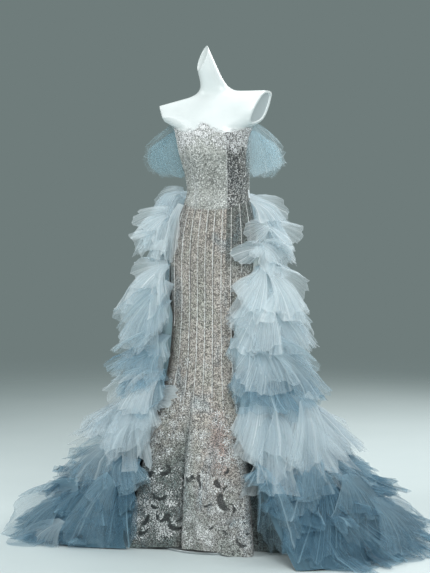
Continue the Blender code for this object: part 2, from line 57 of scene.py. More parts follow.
# The gown's own shape, in the same sizes as the solids
figure = np.array([  # height, half width, front depth, back depth, shift x, shift y
    (0.700, 0.1330, 0.090, 0.118, -0.003, 0.000), (0.800, 0.1335, 0.088, 0.120, -0.003, 0.000),
    (0.880, 0.1360, 0.089, 0.122, -0.003, 0.000), (0.960, 0.1300, 0.088, 0.112, -0.001, 0.000),
    (1.030, 0.1150, 0.083, 0.092, 0.003, 0.000), (1.085, 0.0990, 0.076, 0.078, 0.008, 0.000),
    (1.120, 0.0930, 0.073, 0.074, 0.010, 0.000), (1.160, 0.0960, 0.077, 0.077, 0.008, 0.000),
    (1.200, 0.1010, 0.086, 0.082, 0.003, 0.000), (1.240, 0.1070, 0.094, 0.087, -0.002, 0.000),
    (1.290, 0.1140, 0.092, 0.091, -0.005, 0.000), (1.312, 0.1190, 0.086, 0.092, -0.006, 0.000),
    (1.326, 0.1400, 0.081, 0.091, -0.007, 0.000), (1.342, 0.1680, 0.075, 0.088, -0.009, 0.000),
    (1.360, 0.1960, 0.068, 0.082, -0.011, 0.000), (1.378, 0.2080, 0.060, 0.075, -0.012, 0.001),
    (1.394, 0.2080, 0.052, 0.067, -0.012, 0.003), (1.407, 0.1840, 0.045, 0.058, -0.012, 0.005),
    (1.415, 0.1260, 0.040, 0.051, -0.010, 0.006), (1.421, 0.0800, 0.037, 0.046, -0.007, 0.006),
    (1.430, 0.0560, 0.035, 0.042, -0.004, 0.004), (1.446, 0.0410, 0.034, 0.037, -0.005, -0.002),
    (1.470, 0.0340, 0.034, 0.034, -0.010, -0.012), (1.505, 0.0300, 0.033, 0.033, -0.019, -0.024),
    (1.600, 0.0260, 0.032, 0.032, -0.050, -0.050),
])
neckline = np.array([(0, 1.328), (9, 1.318), (22, 1.301), (38, 1.297), (60, 1.303), (82, 1.311),  # angle, height
                     (105, 1.300), (140, 1.268), (180, 1.255)])
basque = np.array([(0, 1.062), (37, 1.066), (70, 1.084), (95, 1.0925), (130, 1.090), (180, 1.084)])
hemFolds = np.array([  # angle, radius, height of the hem
    (-160, 0.300, 0.001), (-140, 0.350, 0.001), (-120, 0.262, 0.001), (-100, 0.300, 0.001),
    (-78, 0.238, 0.001), (-54, 0.280, 0.001), (-34, 0.203, 0.0095), (-21, 0.168, 0.010),
    (-12, 0.181, 0.011), (4, 0.184, 0.012), (18, 0.194, 0.0105), (34, 0.225, 0.001),
    (47, 0.238, 0.001), (57, 0.196, 0.001), (76, 0.286, 0.001), (94, 0.240, 0.001),
    (112, 0.312, 0.001), (128, 0.262, 0.001), (145, 0.352, 0.001), (162, 0.300, 0.001),
    (180, 0.392, 0.001),
])
skirtFlare = np.array([  # height, share of the way out to the hem
    (0.00, 1.00), (0.05, 0.96), (0.12, 0.88), (0.20, 0.79), (0.27, 0.69),
    (0.35, 0.53), (0.42, 0.37), (0.50, 0.21), (0.60, 0.07), (0.72, 0.00),
])
trainFall = np.array([  # height, share of the way out to the floor plan, angle of the right edge and of the left
    (1.0962, 0.00, -66, 88), (1.030, 0.00, -64, 82), (0.950, 0.00, -61, 66), (0.850, 0.010, -58, 52),
    (0.750, 0.025, -55, 47), (0.620, 0.050, -53, 45), (0.480, 0.090, -52, 45), (0.340, 0.160, -51, 46),
    (0.220, 0.290, -50, 48), (0.120, 0.510, -50, 49), (0.055, 0.740, -50, 50), (0.018, 0.900, -49, 50),
    (0.0024, 1.000, -48, 50),
])
trainPlan = np.array([  # angle, radius where the train lies on the floor
    (-180, 0.70), (-150, 0.68), (-120, 0.66), (-92, 0.63), (-76, 0.59), (-64, 0.49),
    (-54, 0.36), (-46, 0.29), (0, 0.27), (42, 0.40), (52, 0.47), (68, 0.53),
    (90, 0.61), (120, 0.65), (150, 0.68), (180, 0.70),
])
figureShape = {"roundness": 2.25, "bust": (23.0, 17.0, 1.238, 0.045), "bustOut": 0.010,  # angle, width, height, tall
               "shoulderSlope": 0.13, "shoulders": (1.335, 1.385), "skirtFrom": 0.700}
trainShape = {"around": 14.0, "samples": 7, "second": 0.8,       # the skirt under it is taken over this many degrees
              "step": 0.008, "turnStep": 2.0, "pastHem": 0.32}   # spacing of the train's map, and metres past its hem
fit = {  # metres
    "clothOffForm": 0.0016, "bodiceThick": 0.0022, "skirtThick": 0.0016, "laceThick": 0.0012, "ribHeight": 0.0022,
    "underskirtOff": 0.0030, "bandOff": 0.0014, "floorGap": 0.0012,
}


def smooth(knots, values, at):
    # a curve through the knots that never overshoots them
    step = np.diff(knots)
    slope = np.diff(values) / step
    tangent = np.concatenate([slope[:1], np.zeros(len(slope) - 1), slope[-1:]])
    sameWay = slope[:-1] * slope[1:] > 0
    inner = np.zeros(len(slope) - 1)
    inner[sameWay] = 2 / (1 / slope[:-1][sameWay] + 1 / slope[1:][sameWay])
    tangent[1:-1] = inner
    at = np.clip(np.asarray(at, float), knots[0], knots[-1])
    i = np.clip(np.searchsorted(knots, at, side="right") - 1, 0, len(step) - 1)
    t = (at - knots[i]) / step[i]
    return ((1 + 2 * t) * (1 - t) ** 2 * values[i] + t * (1 - t) ** 2 * step[i] * tangent[i]
            + t * t * (3 - 2 * t) * values[i + 1] - t * t * (1 - t) * step[i] * tangent[i + 1])


def smoothstep(low, high, at):
    t = np.clip((np.asarray(at, float) - low) / (high - low), 0, 1)
    return t * t * (3 - 2 * t)


def wrapped(angle):
    return (np.asarray(angle, float) + 180.0) % 360.0 - 180.0


def near(at, middle, wide):
    # 1 at the middle, fading to nothing at about twice the width
    return np.exp(-((at - middle) / wide) ** 2)


def spot(across, up, middle, wide, level, tall):
    # the same round one point of a surface
    return np.exp(-((across - middle) / wide) ** 2 - ((up - level) / tall) ** 2)


def nearest(at, step):
    # how far each value is from the nearest whole step, in the values' own units
    return (at / step - np.round(at / step)) * step


def edgeHeight(table, angle):
    return smooth(table[:, 0], table[:, 1], np.abs(wrapped(angle)))


def figureRadius(height, angle):
    turn, power = np.radians(angle), figureShape["roundness"]
    across, front, back = (smooth(figure[:, 0], figure[:, k], height) for k in (1, 2, 3))
    depth = np.where(np.cos(turn) > 0, front, back)
    radius = ((np.abs(np.sin(turn)) / across) ** power + (np.abs(np.cos(turn)) / depth) ** power) ** (-1 / power)
    return radius + figureShape["bustOut"] * spot(np.abs(wrapped(angle)), height, *figureShape["bust"])


def placed(radius, height, angle):
    height = np.asarray(height, float) + 0 * radius
    turn = np.radians(angle)
    x = radius * np.sin(turn) + smooth(figure[:, 0], figure[:, 4], height)
    y = -radius * np.cos(turn) + smooth(figure[:, 0], figure[:, 5], height)
    z = height + x * figureShape["shoulderSlope"] * smoothstep(*figureShape["shoulders"], height)
    return np.stack(np.broadcast_arrays(x, y, z), -1)


def hemValue(k, angle):
    turns = np.concatenate([hemFolds[:, 0] + lap for lap in (-360, 0, 360)])
    order = np.argsort(turns)
    return smooth(turns[order], np.tile(hemFolds[:, k], 3)[order], wrapped(angle))


def skirtRadius(height, angle):
    above = figureRadius(np.maximum(height, figureShape["skirtFrom"]), angle) + fit["clothOffForm"]
    return above + (hemValue(1, angle) - above) * smooth(skirtFlare[:, 0], skirtFlare[:, 1], height)


def trainEdges(height, wider):
    # angles of the train's two front edges, moved out by so many degrees
    levels, right, left = (trainFall[::-1, k] for k in (0, 2, 3))
    return smooth(levels, right, height) - wider, smooth(levels, left, height) + wider


def trainRadius(height, spread, angle):
    window = np.linspace(-trainShape["around"], trainShape["around"], trainShape["samples"])
    close = skirtRadius(np.asarray(height)[..., None, None],
                        angle[..., None, None] + window[:, None] + trainShape["second"] * window)
    close = close.max(-2).mean(-1) + fit["skirtThick"] + fit["ribHeight"] + fit["underskirtOff"]
    return close + (smooth(trainPlan[:, 0], trainPlan[:, 1], wrapped(angle)) - close) * spread


def makeTrainMap():
    # the train's underskirt unrolled: drop down the fall by angle
    levels, spreads, step = trainFall[:, 0], trainFall[:, 1], trainShape["step"]
    side = trainRadius(levels, spreads, np.full(len(levels), 90.0))
    lengths = np.concatenate([[0], np.cumsum(np.hypot(np.diff(side), np.diff(levels)))])
    drops = np.arange(-step, lengths[-1] + trainShape["pastHem"], step)
    angles = np.arange(-180.0, 180.1, trainShape["turnStep"])
    grid, turn = np.meshgrid(drops, angles, indexing="ij")
    height = smooth(lengths, levels, grid)
    radius = trainRadius(height, smooth(lengths, spreads, grid), turn) + np.maximum(grid - lengths[-1], 0)
    out, down = np.gradient(radius, axis=0), np.gradient(height, axis=0)
    long = np.hypot(out, down) + 1e-9
    return {"start": drops[0], "layers": np.stack([radius, height, -down / long, out / long]), "lengths": lengths}


def trainPoint(drop, angle, offset):
    # a point off the train's underskirt, square to its fall: outwards, and up where it lies on the floor
    layers = trainMap["layers"]
    u = np.clip((np.asarray(drop, float) - trainMap["start"]) / trainShape["step"], 0, layers.shape[1] - 1.001)
    v = np.clip((wrapped(angle) + 180.0) / trainShape["turnStep"], 0, layers.shape[2] - 1.001)
    u, v = np.broadcast_arrays(u, v)
    i, j = u.astype(int), v.astype(int)
    a, b = u - i, v - j
    radius, height, normalOut, normalUp = (
        m[i, j] * (1 - a) * (1 - b) + m[i + 1, j] * a * (1 - b)
        + m[i, j + 1] * (1 - a) * b + m[i + 1, j + 1] * a * b for m in layers)
    return placed(radius + offset * normalOut, height + offset * normalUp, angle)


trainMap = makeTrainMap()
trainLength = trainMap["lengths"][-1]
print("shape tables ready, the train falls", round(float(trainLength), 3), "m")


# Helpers for meshes
def newPiece(name, vertices, faces, material, values=(), sharp=False, uv=None):
    mesh = bpy.data.meshes.new(name)
    mesh.from_pydata(vertices.reshape(-1, 3).tolist(), [], faces.tolist() if hasattr(faces, "tolist") else faces)
    if uv is not None:
        corner = np.empty(len(mesh.loops), np.int32)
        mesh.loops.foreach_get("vertex_index", corner)
        layer = mesh.uv_layers.new(name="cut")
        layer.uv.foreach_set("vector", uv.reshape(-1, 2)[corner].astype(np.float32).ravel())
    for key, numbers in dict(values).items():
        mesh.attributes.new(key, "FLOAT", "POINT").data.foreach_set("value", np.asarray(numbers, np.float32).ravel())
    mesh.materials.append(material)
    if sharp:
        mesh.shade_flat()
    else:
        mesh.shade_smooth()
    mesh.validate()
    return addPiece(name, mesh)


def addPiece(name, mesh):
    piece = bpy.data.objects.new(name, mesh)
    scene.collection.objects.link(piece)
    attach(piece, "root")
    return piece


def standsFor(piece, node):
    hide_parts(node)


def gridFaces(rows, columns, start=0):
    i, j = np.meshgrid(np.arange(rows - 1), np.arange(columns - 1), indexing="ij")
    a = start + i * columns + j
    return np.stack([a, a + columns, a + columns + 1, a + 1], -1).reshape(-1, 4)


def gridNormals(points):
    normal = np.cross(np.gradient(points, axis=0), np.gradient(points, axis=1))
    return normal / (np.linalg.norm(normal, axis=-1, keepdims=True) + 1e-12)


def clothSheet(name, points, material, values=(), uv=None):
    return newPiece(name, points, gridFaces(*points.shape[:2]), material, values, uv=uv)


def ripple(points, size, seed, count=9):
    # crumpled noise: folded plane waves of about the given size, from -1 to 1
    rng = np.random.default_rng(seed)
    total = 0
    for _ in range(count):
        way = rng.normal(size=3)
        way *= 2 * math.pi / (size * rng.uniform(0.7, 1.6)) / np.linalg.norm(way)
        total = total + (1 - 2 * np.abs(np.sin(points @ way * 0.5 + rng.uniform(0, 6.28))))
    return total / count * 1.6


# Helpers for materials
def linear(colour):
    # a hex code, or red, green and blue as light, with full alpha
    if isinstance(colour, str):
        channels = (int(colour[i:i + 2], 16) / 255 for i in (1, 3, 5))
        colour = tuple(c / 12.92 if c < 0.04045 else ((c + 0.055) / 1.055) ** 2.4 for c in channels)
    return (*colour, 1)


def shaderOf(material):
    return material.node_tree.nodes["Principled BSDF"]


def feed(material, node, inputs):
    # each input is a number, a tuple, a hex code, or another node's output
    for key, value in inputs.items():
        if isinstance(value, str):
            value = linear(value)
        if isinstance(value, (int, float, tuple)):
            node.inputs[key].default_value = value
        else:
            material.node_tree.links.new(value, node.inputs[key])


def addNode(material, kind, inputs=None, **settings):
    node = material.node_tree.nodes.new(kind)
    for key, value in settings.items():
        setattr(node, key, value)
    feed(material, node, inputs or {})
    return node


def newMaterial(name, roughness=0.5, metallic=0.0, sheen=0.0, coat=0.0):
    material = bpy.data.materials.new(name)
    material.use_nodes = True
    feed(material, shaderOf(material), {"Roughness": roughness, "Metallic": metallic, "Sheen Weight": sheen,
                                        "Coat Weight": coat})
    return material


def mathNode(material, operation, *values, clamp=False):
    values = dict(enumerate(values))
    return addNode(material, "ShaderNodeMath", values, operation=operation, use_clamp=clamp).outputs[0]


def product(material, first, second, clamp=False):
    return mathNode(material, "MULTIPLY", first, second, clamp=clamp)


def scaledSum(material, first, factor, added, clamp=False):
    # first times factor, plus added
    return mathNode(material, "MULTIPLY_ADD", first, factor, added, clamp=clamp)


def colourRamp(material, source, stops):
    node = addNode(material, "ShaderNodeValToRGB", {0: source})
    ramp = node.color_ramp
    while len(ramp.elements) < len(stops):
        ramp.elements.new(0.5)
    for element, (place, colour) in zip(ramp.elements, stops):
        element.position = place
        element.color = linear(colour)
    return node.outputs[0]


def mixColour(material, factor, first, second, blend="MIX"):
    return addNode(material, "ShaderNodeMix", {0: factor, 6: first, 7: second},
                   data_type="RGBA", blend_type=blend).outputs[2]


def coordinates(material, scale=(1, 1, 1), output="Object"):
    source = addNode(material, "ShaderNodeTexCoord").outputs[output]
    return addNode(material, "ShaderNodeMapping", {"Scale": scale, "Vector": source}).outputs[0]


def noise(material, vector, scale, detail=3.0, rough=0.5, distortion=0.0):
    return addNode(material, "ShaderNodeTexNoise", {"Scale": scale, "Detail": detail, "Roughness": rough,
                                                    "Distortion": distortion, "Vector": vector}).outputs["Fac"]


def cells(material, vector, scale):
    return addNode(material, "ShaderNodeTexVoronoi", {"Scale": scale, "Vector": vector}).outputs["Distance"]


def attribute(material, name):
    return addNode(material, "ShaderNodeAttribute", attribute_name=name).outputs["Fac"]


def finish(material, colour, rough=None, relief=None):
    # colour; roughness as texture, lowest, highest; relief as texture, strength, height in metres
    inputs = {"Base Color": colour}
    if rough:
        source, low, high = rough
        spread = addNode(material, "ShaderNodeMapRange", {"To Min": low, "To Max": high, "Value": source})
        inputs["Roughness"] = spread.outputs[0]
    if relief:
        height, strength, distance = relief
        raised = addNode(material, "ShaderNodeBump", {"Strength": strength, "Distance": distance, "Height": height})
        inputs["Normal"] = raised.outputs[0]
    feed(material, shaderOf(material), inputs)
    return material


# The dress form
formLook = {  # each finish: light, dark, roughness
    # the arm plates' greyer colours are painted shade of the recess they sit in
    "formSkin": ("#e2e8e8", "#d3dbdb", 0.38), "formShadedArmPlate": ("#b9c2c4", "#a9b3b5", 0.55),
    "formNeckPlate": ("#e4ebeb", "#e2eae9", 0.45), "coat": 0.15,
    "columns": 144, "bodyRings": (0.800, 1.30, 0.012), "neckRings": (1.304, 1.60, 0.0025),  # from, to, step
    "lip": (0.0012, -0.0006), "groove": 0.0008, "plateEdge": (0.0012, 0.0004), "sharpFrom": 50,
}
formCuts = {  # point, normal, rim width, recess depth, and the height above which it cuts
    "neck": ((-0.0265, -0.0395, 1.5270), (-0.729, -0.573, 0.37), 0.0016, 0.0010, 1.44),
    "left": ((0.152, 0.0, 1.379), (0.915, -0.197, -0.35), 0.0060, 0.0040, 1.284),
    "right": ((-0.176, 0.0, 1.368), (-0.915, -0.197, -0.35), 0.0060, 0.0040, 1.284),
}


def formMaterial(name):
    light, dark, roughness = formLook[name]
    material = newMaterial(name, roughness, coat=formLook["coat"])
    where = coordinates(material)
    colour = colourRamp(material, noise(material, where, 9.0, 4.0), [(0.3, dark), (0.7, light)])
    grain = noise(material, where, 900.0, 2.0)
    smears = noise(material, where, 60.0, 3.0)
    return finish(material, colour, (smears, roughness - 0.05, roughness + 0.08), (grain, 0.08, 0.0004))


def cutForm(builder, point, normal, rim, recess, above):
    # cuts the form flat and sinks the plate that closes it, inside a thin rim
    faces = [f for f in builder.faces if min(v.co.z for v in f.verts) > above]
    around = dict.fromkeys(part for f in faces for part in (*f.verts, *f.edges))  # each once, in a fixed order
    bmesh.ops.bisect_plane(builder, geom=[*around, *faces], plane_co=point, plane_no=normal, clear_outer=True)
    plate = bmesh.ops.edgeloop_fill(builder, edges=[e for e in builder.edges if e.is_boundary])["faces"]
    inward = -np.array(normal) / np.linalg.norm(normal)
    for narrower, deeper in (formLook["lip"], (rim, 0), (formLook["groove"], recess), formLook["plateEdge"]):
        plate = bmesh.ops.extrude_discrete_faces(builder, faces=plate)["faces"]
        centre = plate[0].calc_center_median()
        for corner in plate[0].verts:
            corner.co += (centre - corner.co).normalized() * narrower + Vector(inward * deeper)
    return plate[0]


def makeForm():
    skin, shadedArmPlate, neckPlate = (formMaterial(name) for name in ("formSkin", "formShadedArmPlate", "formNeckPlate"))
    angles = np.arange(formLook["columns"]) * 360.0 / formLook["columns"]
    builder = bmesh.new()
    rings = []
    for level in np.concatenate([np.arange(*formLook["bodyRings"]), np.arange(*formLook["neckRings"])]):
        points = placed(figureRadius(level, angles), level, angles)
        rings.append([builder.verts.new(p) for p in points.tolist()])
    for lower, upper in zip(rings, rings[1:]):
        for j in range(len(angles)):
            k = (j + 1) % len(angles)
            builder.faces.new((lower[j], lower[k], upper[k], upper[j]))
    builder.faces.new(rings[0][::-1])
    builder.faces.new(rings[-1])
    for which, cut in formCuts.items():
        cutForm(builder, *cut).material_index = 1 if which == "neck" else 2
    bmesh.ops.recalc_face_normals(builder, faces=builder.faces[:])
    mesh = bpy.data.meshes.new("formTorso")
    builder.to_mesh(mesh)
    builder.free()
    for material in (skin, neckPlate, shadedArmPlate):
        mesh.materials.append(material)
    mesh.shade_smooth()
    mesh.set_sharp_from_angle(angle=math.radians(formLook["sharpFrom"]))
    standsFor(addPiece("formTorso", mesh), "form_torso")


makeForm()
print("dress form made")

# The stand
standLook = {"radius": 0.190, "thick": 0.008, "edge": 0.0025, "bevel": 0.001, "hub": (0.05, 0.030), "columns": 128,
             "steel": "#aeb4b5", "worn": "#8d9496", "sharpFrom": 40}


def steelMaterial(name):
    material = newMaterial(name, 0.36, metallic=0.85)
    where = coordinates(material)
    streaks = noise(material, coordinates(material, (6, 6, 400)), 4.0, 4.0)
    colour = colourRamp(material, noise(material, where, 18.0, 5.0),
                        [(0.35, standLook["worn"]), (0.65, standLook["steel"])])
    return finish(material, colour, (streaks, 0.28, 0.46), (noise(material, where, 500.0, 2.0), 0.1, 0.0003))


def makeStand():
    steel = steelMaterial("brushedSteel")
    for name in ("stand_pole", "form_socket"):
        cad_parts[name].material_slots[0].material = steel
    radius, thick, edge, bevel = (standLook[k] for k in ("radius", "thick", "edge", "bevel"))
    rounded = [(radius - edge + edge * math.cos(a), thick - edge + edge * math.sin(a))
               for a in np.radians(np.linspace(0, 90, 7))]
    profile = np.array([(0.0, 0.0), (radius - bevel, 0.0), (radius, bevel), *rounded,
                        *((r, thick) for r in standLook["hub"]), (0.0, thick)])
    turns = np.radians(np.arange(standLook["columns"]) * 360 / standLook["columns"])
    ring = np.stack([profile[:, 0, None] * np.sin(turns), -profile[:, 0, None] * np.cos(turns),
                     profile[:, 1, None] + 0 * turns], -1)
    rows, columns = ring.shape[:2]
    faces = [[i * columns + j, i * columns + (j + 1) % columns, (i + 1) * columns + (j + 1) % columns,
              (i + 1) * columns + j] for i in range(rows - 1) for j in range(columns)]
    plate = newPiece("standPlate", ring, faces, steel)
    tidy = bmesh.new()
    tidy.from_mesh(plate.data)
    bmesh.ops.remove_doubles(tidy, verts=tidy.verts, dist=1e-5)
    bmesh.ops.recalc_face_normals(tidy, faces=tidy.faces)
    tidy.to_mesh(plate.data)
    tidy.free()
    plate.data.set_sharp_from_angle(angle=math.radians(standLook["sharpFrom"]))
    standsFor(plate, "stand_base")


makeStand()
print("stand made")

# Beads, which are small meshes of their own shape
gem = (np.array([(1, 0, 0), (-1, 0, 0), (0, 1, 0), (0, -1, 0), (0, 0, 1), (0, 0, -1)], float),
       np.array([(0, 2, 4), (2, 1, 4), (1, 3, 4), (3, 0, 4), (2, 0, 5), (1, 2, 5), (3, 1, 5), (0, 3, 5)]))
sequin = (np.array([(1, 0, 0), (-0.5, 0.87, 0), (-0.5, -0.87, 0), (0, 0, 1)], float),
          np.array([(0, 2, 1), (0, 1, 3), (1, 2, 3), (2, 0, 3)]))
petal = (np.array([(1, 0, 0.1), (0.45, 0.75, 0.2), (-0.4, 0.85, 0.2), (-1, 0, 0.1), (-0.4, -0.85, 0.2),
                   (0.45, -0.75, 0.2), (0.5, 0, 0.9), (-0.45, 0, 1.0)], float),
         np.array([(0, 1, 6), (1, 2, 6), (2, 7, 6), (2, 3, 7), (3, 4, 7), (4, 6, 7), (4, 5, 6), (5, 0, 6)]))


def beadCloud(name, shape, centres, normals, along, sizes, shades, material, sharp=True):
    # many small beads as one mesh; sizes are half lengths along, across and out
    corners, triangles = shape
    across = np.cross(normals, along)
    axes = np.stack([along * sizes[:, :1], across * sizes[:, 1:2], normals * sizes[:, 2:3]], 1)
    vertices = centres[:, None, :] + np.einsum("vk,nkc->nvc", corners, axes)
    faces = triangles[None] + (np.arange(len(centres)) * len(corners))[:, None, None]
    return newPiece(name, vertices, faces.reshape(-1, 3), material,
                    {"shade": np.repeat(shades, len(corners))}, sharp=sharp)


def bodyFrame(radiusOf, heights, angles):
    # place, outward normal and upward direction on a body surface
    step = 0.002
    centre = placed(radiusOf(heights, angles), heights, angles)
    up = placed(radiusOf(heights + step, angles), heights + step, angles) - centre
    aside = placed(radiusOf(heights, angles + 1), heights, angles + 1) - centre
    up /= np.linalg.norm(up, axis=-1, keepdims=True)
    normal = np.cross(aside, up)
    normal /= np.linalg.norm(normal, axis=-1, keepdims=True)
    return centre, normal, up


def turned(direction, normal, degrees):
    angle = np.radians(degrees)[:, None]
    return direction * np.cos(angle) + np.cross(normal, direction) * np.sin(angle)


def beadSizes(rng, count, ranges):
    # half lengths along, across and out, each between two limits
    return np.stack([rng.uniform(low, high, count) for low, high in ranges], -1)


beadLook = {  # each finish: colour by a bead's own shade, roughness, metallic
    "silverBeads": ([(0.0, (0.07, 0.072, 0.07)), (0.3, (0.27, 0.275, 0.26)), (0.6, (0.62, 0.64, 0.61)),
                     (1.0, (0.98, 1.0, 1.0))], 0.32, 0.15),
    "laceLeaves": ([(0.0, (0.07, 0.075, 0.08)), (0.25, (0.36, 0.37, 0.38)), (0.6, (0.70, 0.72, 0.73)),
                    (1.0, (0.95, 0.97, 0.98))], 0.4, 0.1),
    "skirtBeads": ([(0.0, (0.05, 0.05, 0.05)), (0.35, (0.17, 0.165, 0.157)), (0.65, (0.44, 0.43, 0.41)),
                    (1.0, (0.95, 0.96, 0.95))], 0.35, 0.12),
    "laceFlowers": ([(0.0, (0.05, 0.052, 0.054)), (0.25, (0.26, 0.27, 0.27)), (0.6, (0.50, 0.52, 0.52)),
                     (1.0, (0.86, 0.88, 0.88))], 0.5, 0.05),
}


def beadMaterial(name):
    stops, roughness, metallic = beadLook[name]
    material = newMaterial(name, roughness, metallic=metallic)
    where = coordinates(material)
    uneven = mathNode(material, "SUBTRACT", noise(material, where, 14.0, 3.0), 0.5)
    shade = scaledSum(material, uneven, 0.5, attribute(material, "shade"), clamp=True)
    return finish(material, colourRamp(material, shade, stops),
                  (noise(material, where, 700.0, 1.0), roughness - 0.08, roughness + 0.12),
                  (noise(material, where, 1200.0, 1.0), 0.15, 0.0003))


sprigLook = {  # for a flower of size 1: distance from the middle, half length, half width
    "petal": (0.55, 0.40, 0.20), "middle": 0.17, "outline": (1.0, 0.15, 0.07), "curlBead": (0.16, 0.085),
    "curlBeads": 11, "curlStart": 0.9, "curlTurn": 0.30, "thick": 0.0013, "petalShade": 0.70, "outlineShade": 0.08,
}


def sprigRows():
    # the beads of one flower: x, y, turn, half length, half width
    far, long, wide = sprigLook["petal"]
    rows = [(far * math.cos(a), far * math.sin(a), a, long, wide) for a in np.radians(np.arange(0, 360, 60))]
    rows.append((0.0, 0.0, 0.0, sprigLook["middle"], sprigLook["middle"]))
    for side in (0.0, math.pi):
        for k in range(sprigLook["curlBeads"]):
            bend = side + sprigLook["curlStart"] + sprigLook["curlTurn"] * k
            far = 1.05 + 0.10 * k - 0.006 * k * k
            rows.append((far * math.cos(bend), far * math.sin(bend), bend + 1.7, *sprigLook["curlBead"]))
    far, long, wide = sprigLook["outline"]
    around = np.radians(np.arange(10, 370, 24))
    outline = [(far * math.cos(a), far * math.sin(a), a + 1.57, long, wide) for a in around]
    return np.array(rows + outline), len(outline)


def laceSprigs(name, radiusOf, heights, angles, size, seed, material, gaps=None):
    # small lace flowers: a ring of petals round a bead, and two curled tendrils of fine beads
    rng = np.random.default_rng(seed)
    rows, outlineCount = sprigRows()
    count = len(heights)
    spin, grow = rng.uniform(0, 2 * math.pi, count), size * rng.uniform(0.75, 1.25, count)
    flip = rng.choice((-1.0, 1.0), count)
    x = (rows[:, 0] * np.cos(spin[:, None]) - rows[:, 1] * np.sin(spin[:, None])) * grow[:, None] * flip[:, None]
    z = (rows[:, 0] * np.sin(spin[:, None]) + rows[:, 1] * np.cos(spin[:, None])) * grow[:, None]
    lean = (math.pi / 2 - (rows[:, 2] + spin[:, None])) * flip[:, None]
    tall = (heights[:, None] + z).ravel()
    turn = (angles[:, None] + np.degrees(x / radiusOf(heights, angles)[:, None])).ravel()
    centre, normal, up = bodyFrame(radiusOf, tall, turn)
    sizes = np.stack([(rows[:, 3] * grow[:, None]).ravel(), (rows[:, 4] * grow[:, None]).ravel(),
                      np.full(len(tall), sprigLook["thick"])], -1)
    dark = np.tile(np.arange(len(rows)) >= len(rows) - outlineCount, count)
    shades = np.where(dark, sprigLook["outlineShade"], sprigLook["petalShade"])
    shades = np.clip(shades + rng.normal(0, 0.15, len(tall)) * np.where(dark, 0.4, 1), 0.02, 1)
    along = turned(up, normal, -np.degrees(lean).ravel())
    kept = np.ones(len(tall), bool) if gaps is None else gaps(centre, tall) < 0.3
    return beadCloud(name, petal, (centre + normal * 0.0006)[kept], normal[kept], along[kept], sizes[kept],
                     shades[kept], material, sharp=False)


# The beaded bodice
bodiceLook = {
    # the side net has a coarser speckle of its own, and is darker with painted shade
    "net": ("#eceeec", "#8d9290"), "shadedSideNet": ("#d8dad8", "#34383a"),  # light, dark
    "netTints": [(0.3, "#aeb0a4"), (0.5, "#c4c1ba"), (0.7, "#c0c4c9")],
    "shadedSideTints": [(0.3, "#a39e97"), (0.5, "#b4b3b0"), (0.7, "#adb4bc")],
    "seams": (37.5, 105.0), "zipEdge": 177.6, "column": 0.9, "rows": 64, "curved": 1.03,
    "beadGap": 0.0040, "beadSize": ((0.0012, 0.0023), (0.0010, 0.0016), (0.0008, 0.0015)), "clusters": 0.0085,
    "leafRows": (1.0, 0.95, 0.85, 0.6, 0.4),  # share of each row's leaves that is kept
    "leafStep": 12.0, "rowGap": 0.0125, "leafSize": 0.0090,
    "scallopTall": 0.0035, "scallops": 15, "trimBead": 0.0014, "trimGap": 0.0034, "trimTurn": 1.7,
}
beadTone = np.array([  # height, brightness: over the cups and above the basque, dimmer round the waist
    (1.06, 0.60), (1.10, 0.66), (1.16, 0.52), (1.21, 0.52), (1.25, 0.70), (1.33, 0.80),
])


def bodiceRadius(heights, angles):
    return figureRadius(heights, angles) + fit["clothOffForm"] + fit["bodiceThick"]


def scallopedEdge(angles):
    wave = np.abs(np.sin(np.radians(angles * bodiceLook["scallops"])))
    return edgeHeight(neckline, angles) + bodiceLook["scallopTall"] * wave


def panelSeams(middleBack):
    # the five panels round the body: piece, node ending, and the angles of their side seams
    front, back = bodiceLook["seams"]
    return (("Front", "front", -front, front), ("SideLeft", "side_left", front, back),
            ("BackLeft", "back_left", back, middleBack), ("BackRight", "back_right", -middleBack, -back),
            ("SideRight", "side_right", -back, -front))


def netMaterial(name, shades, tints):
    # a close beaded net: speckle at bead size over slow patches of tint
    light, dark = shades
    material = newMaterial(name, 0.55, metallic=0.1, sheen=0.2)
    where = coordinates(material)
    coarse, speckle = cells(material, where, 165.0), cells(material, where, 330.0)
    fine = noise(material, where, 420.0, 2.0)
    both = scaledSum(material, coarse, 0.75, product(material, speckle, 0.40))
    both = scaledSum(material, fine, 0.25, both)
    base = colourRamp(material, both, [(0.34, light), (0.78, dark)])
    slow = noise(material, coordinates(material, (1, 1, 0.45)), 11.0, 3.0, 0.6, 0.8)
    colour = mixColour(material, 0.6, base, colourRamp(material, slow, tints), "SOFT_LIGHT")
    return finish(material, colour, (fine, 0.4, 0.7), (both, 0.6, 0.0012))


def makeBodice():
    net = netMaterial("bodiceNet", bodiceLook["net"], bodiceLook["netTints"])
    shadedSideNet = netMaterial("bodiceShadedSideNet", bodiceLook["shadedSideNet"], bodiceLook["shadedSideTints"])
    for name, ending, start, end in panelSeams(bodiceLook["zipEdge"]):
        angles = np.linspace(start + 0.1, end - 0.1, int((end - start) / bodiceLook["column"]) + 1)
        bottom = edgeHeight(basque, angles)
        heights = bottom + (scallopedEdge(angles) - bottom) * np.linspace(1, 0, bodiceLook["rows"])[:, None]
        turns = np.broadcast_to(angles, heights.shape)
        radius = bodiceRadius(heights, turns) - 0.0006
        radius[0] -= 0.0012
        points = placed(radius, heights, turns)
        # the side panel on the wearer's left takes the net with painted shade
        panel = clothSheet(f"bodice{name}", points, shadedSideNet if name == "SideLeft" else net)
        standsFor(panel, f"bodice_{ending}")


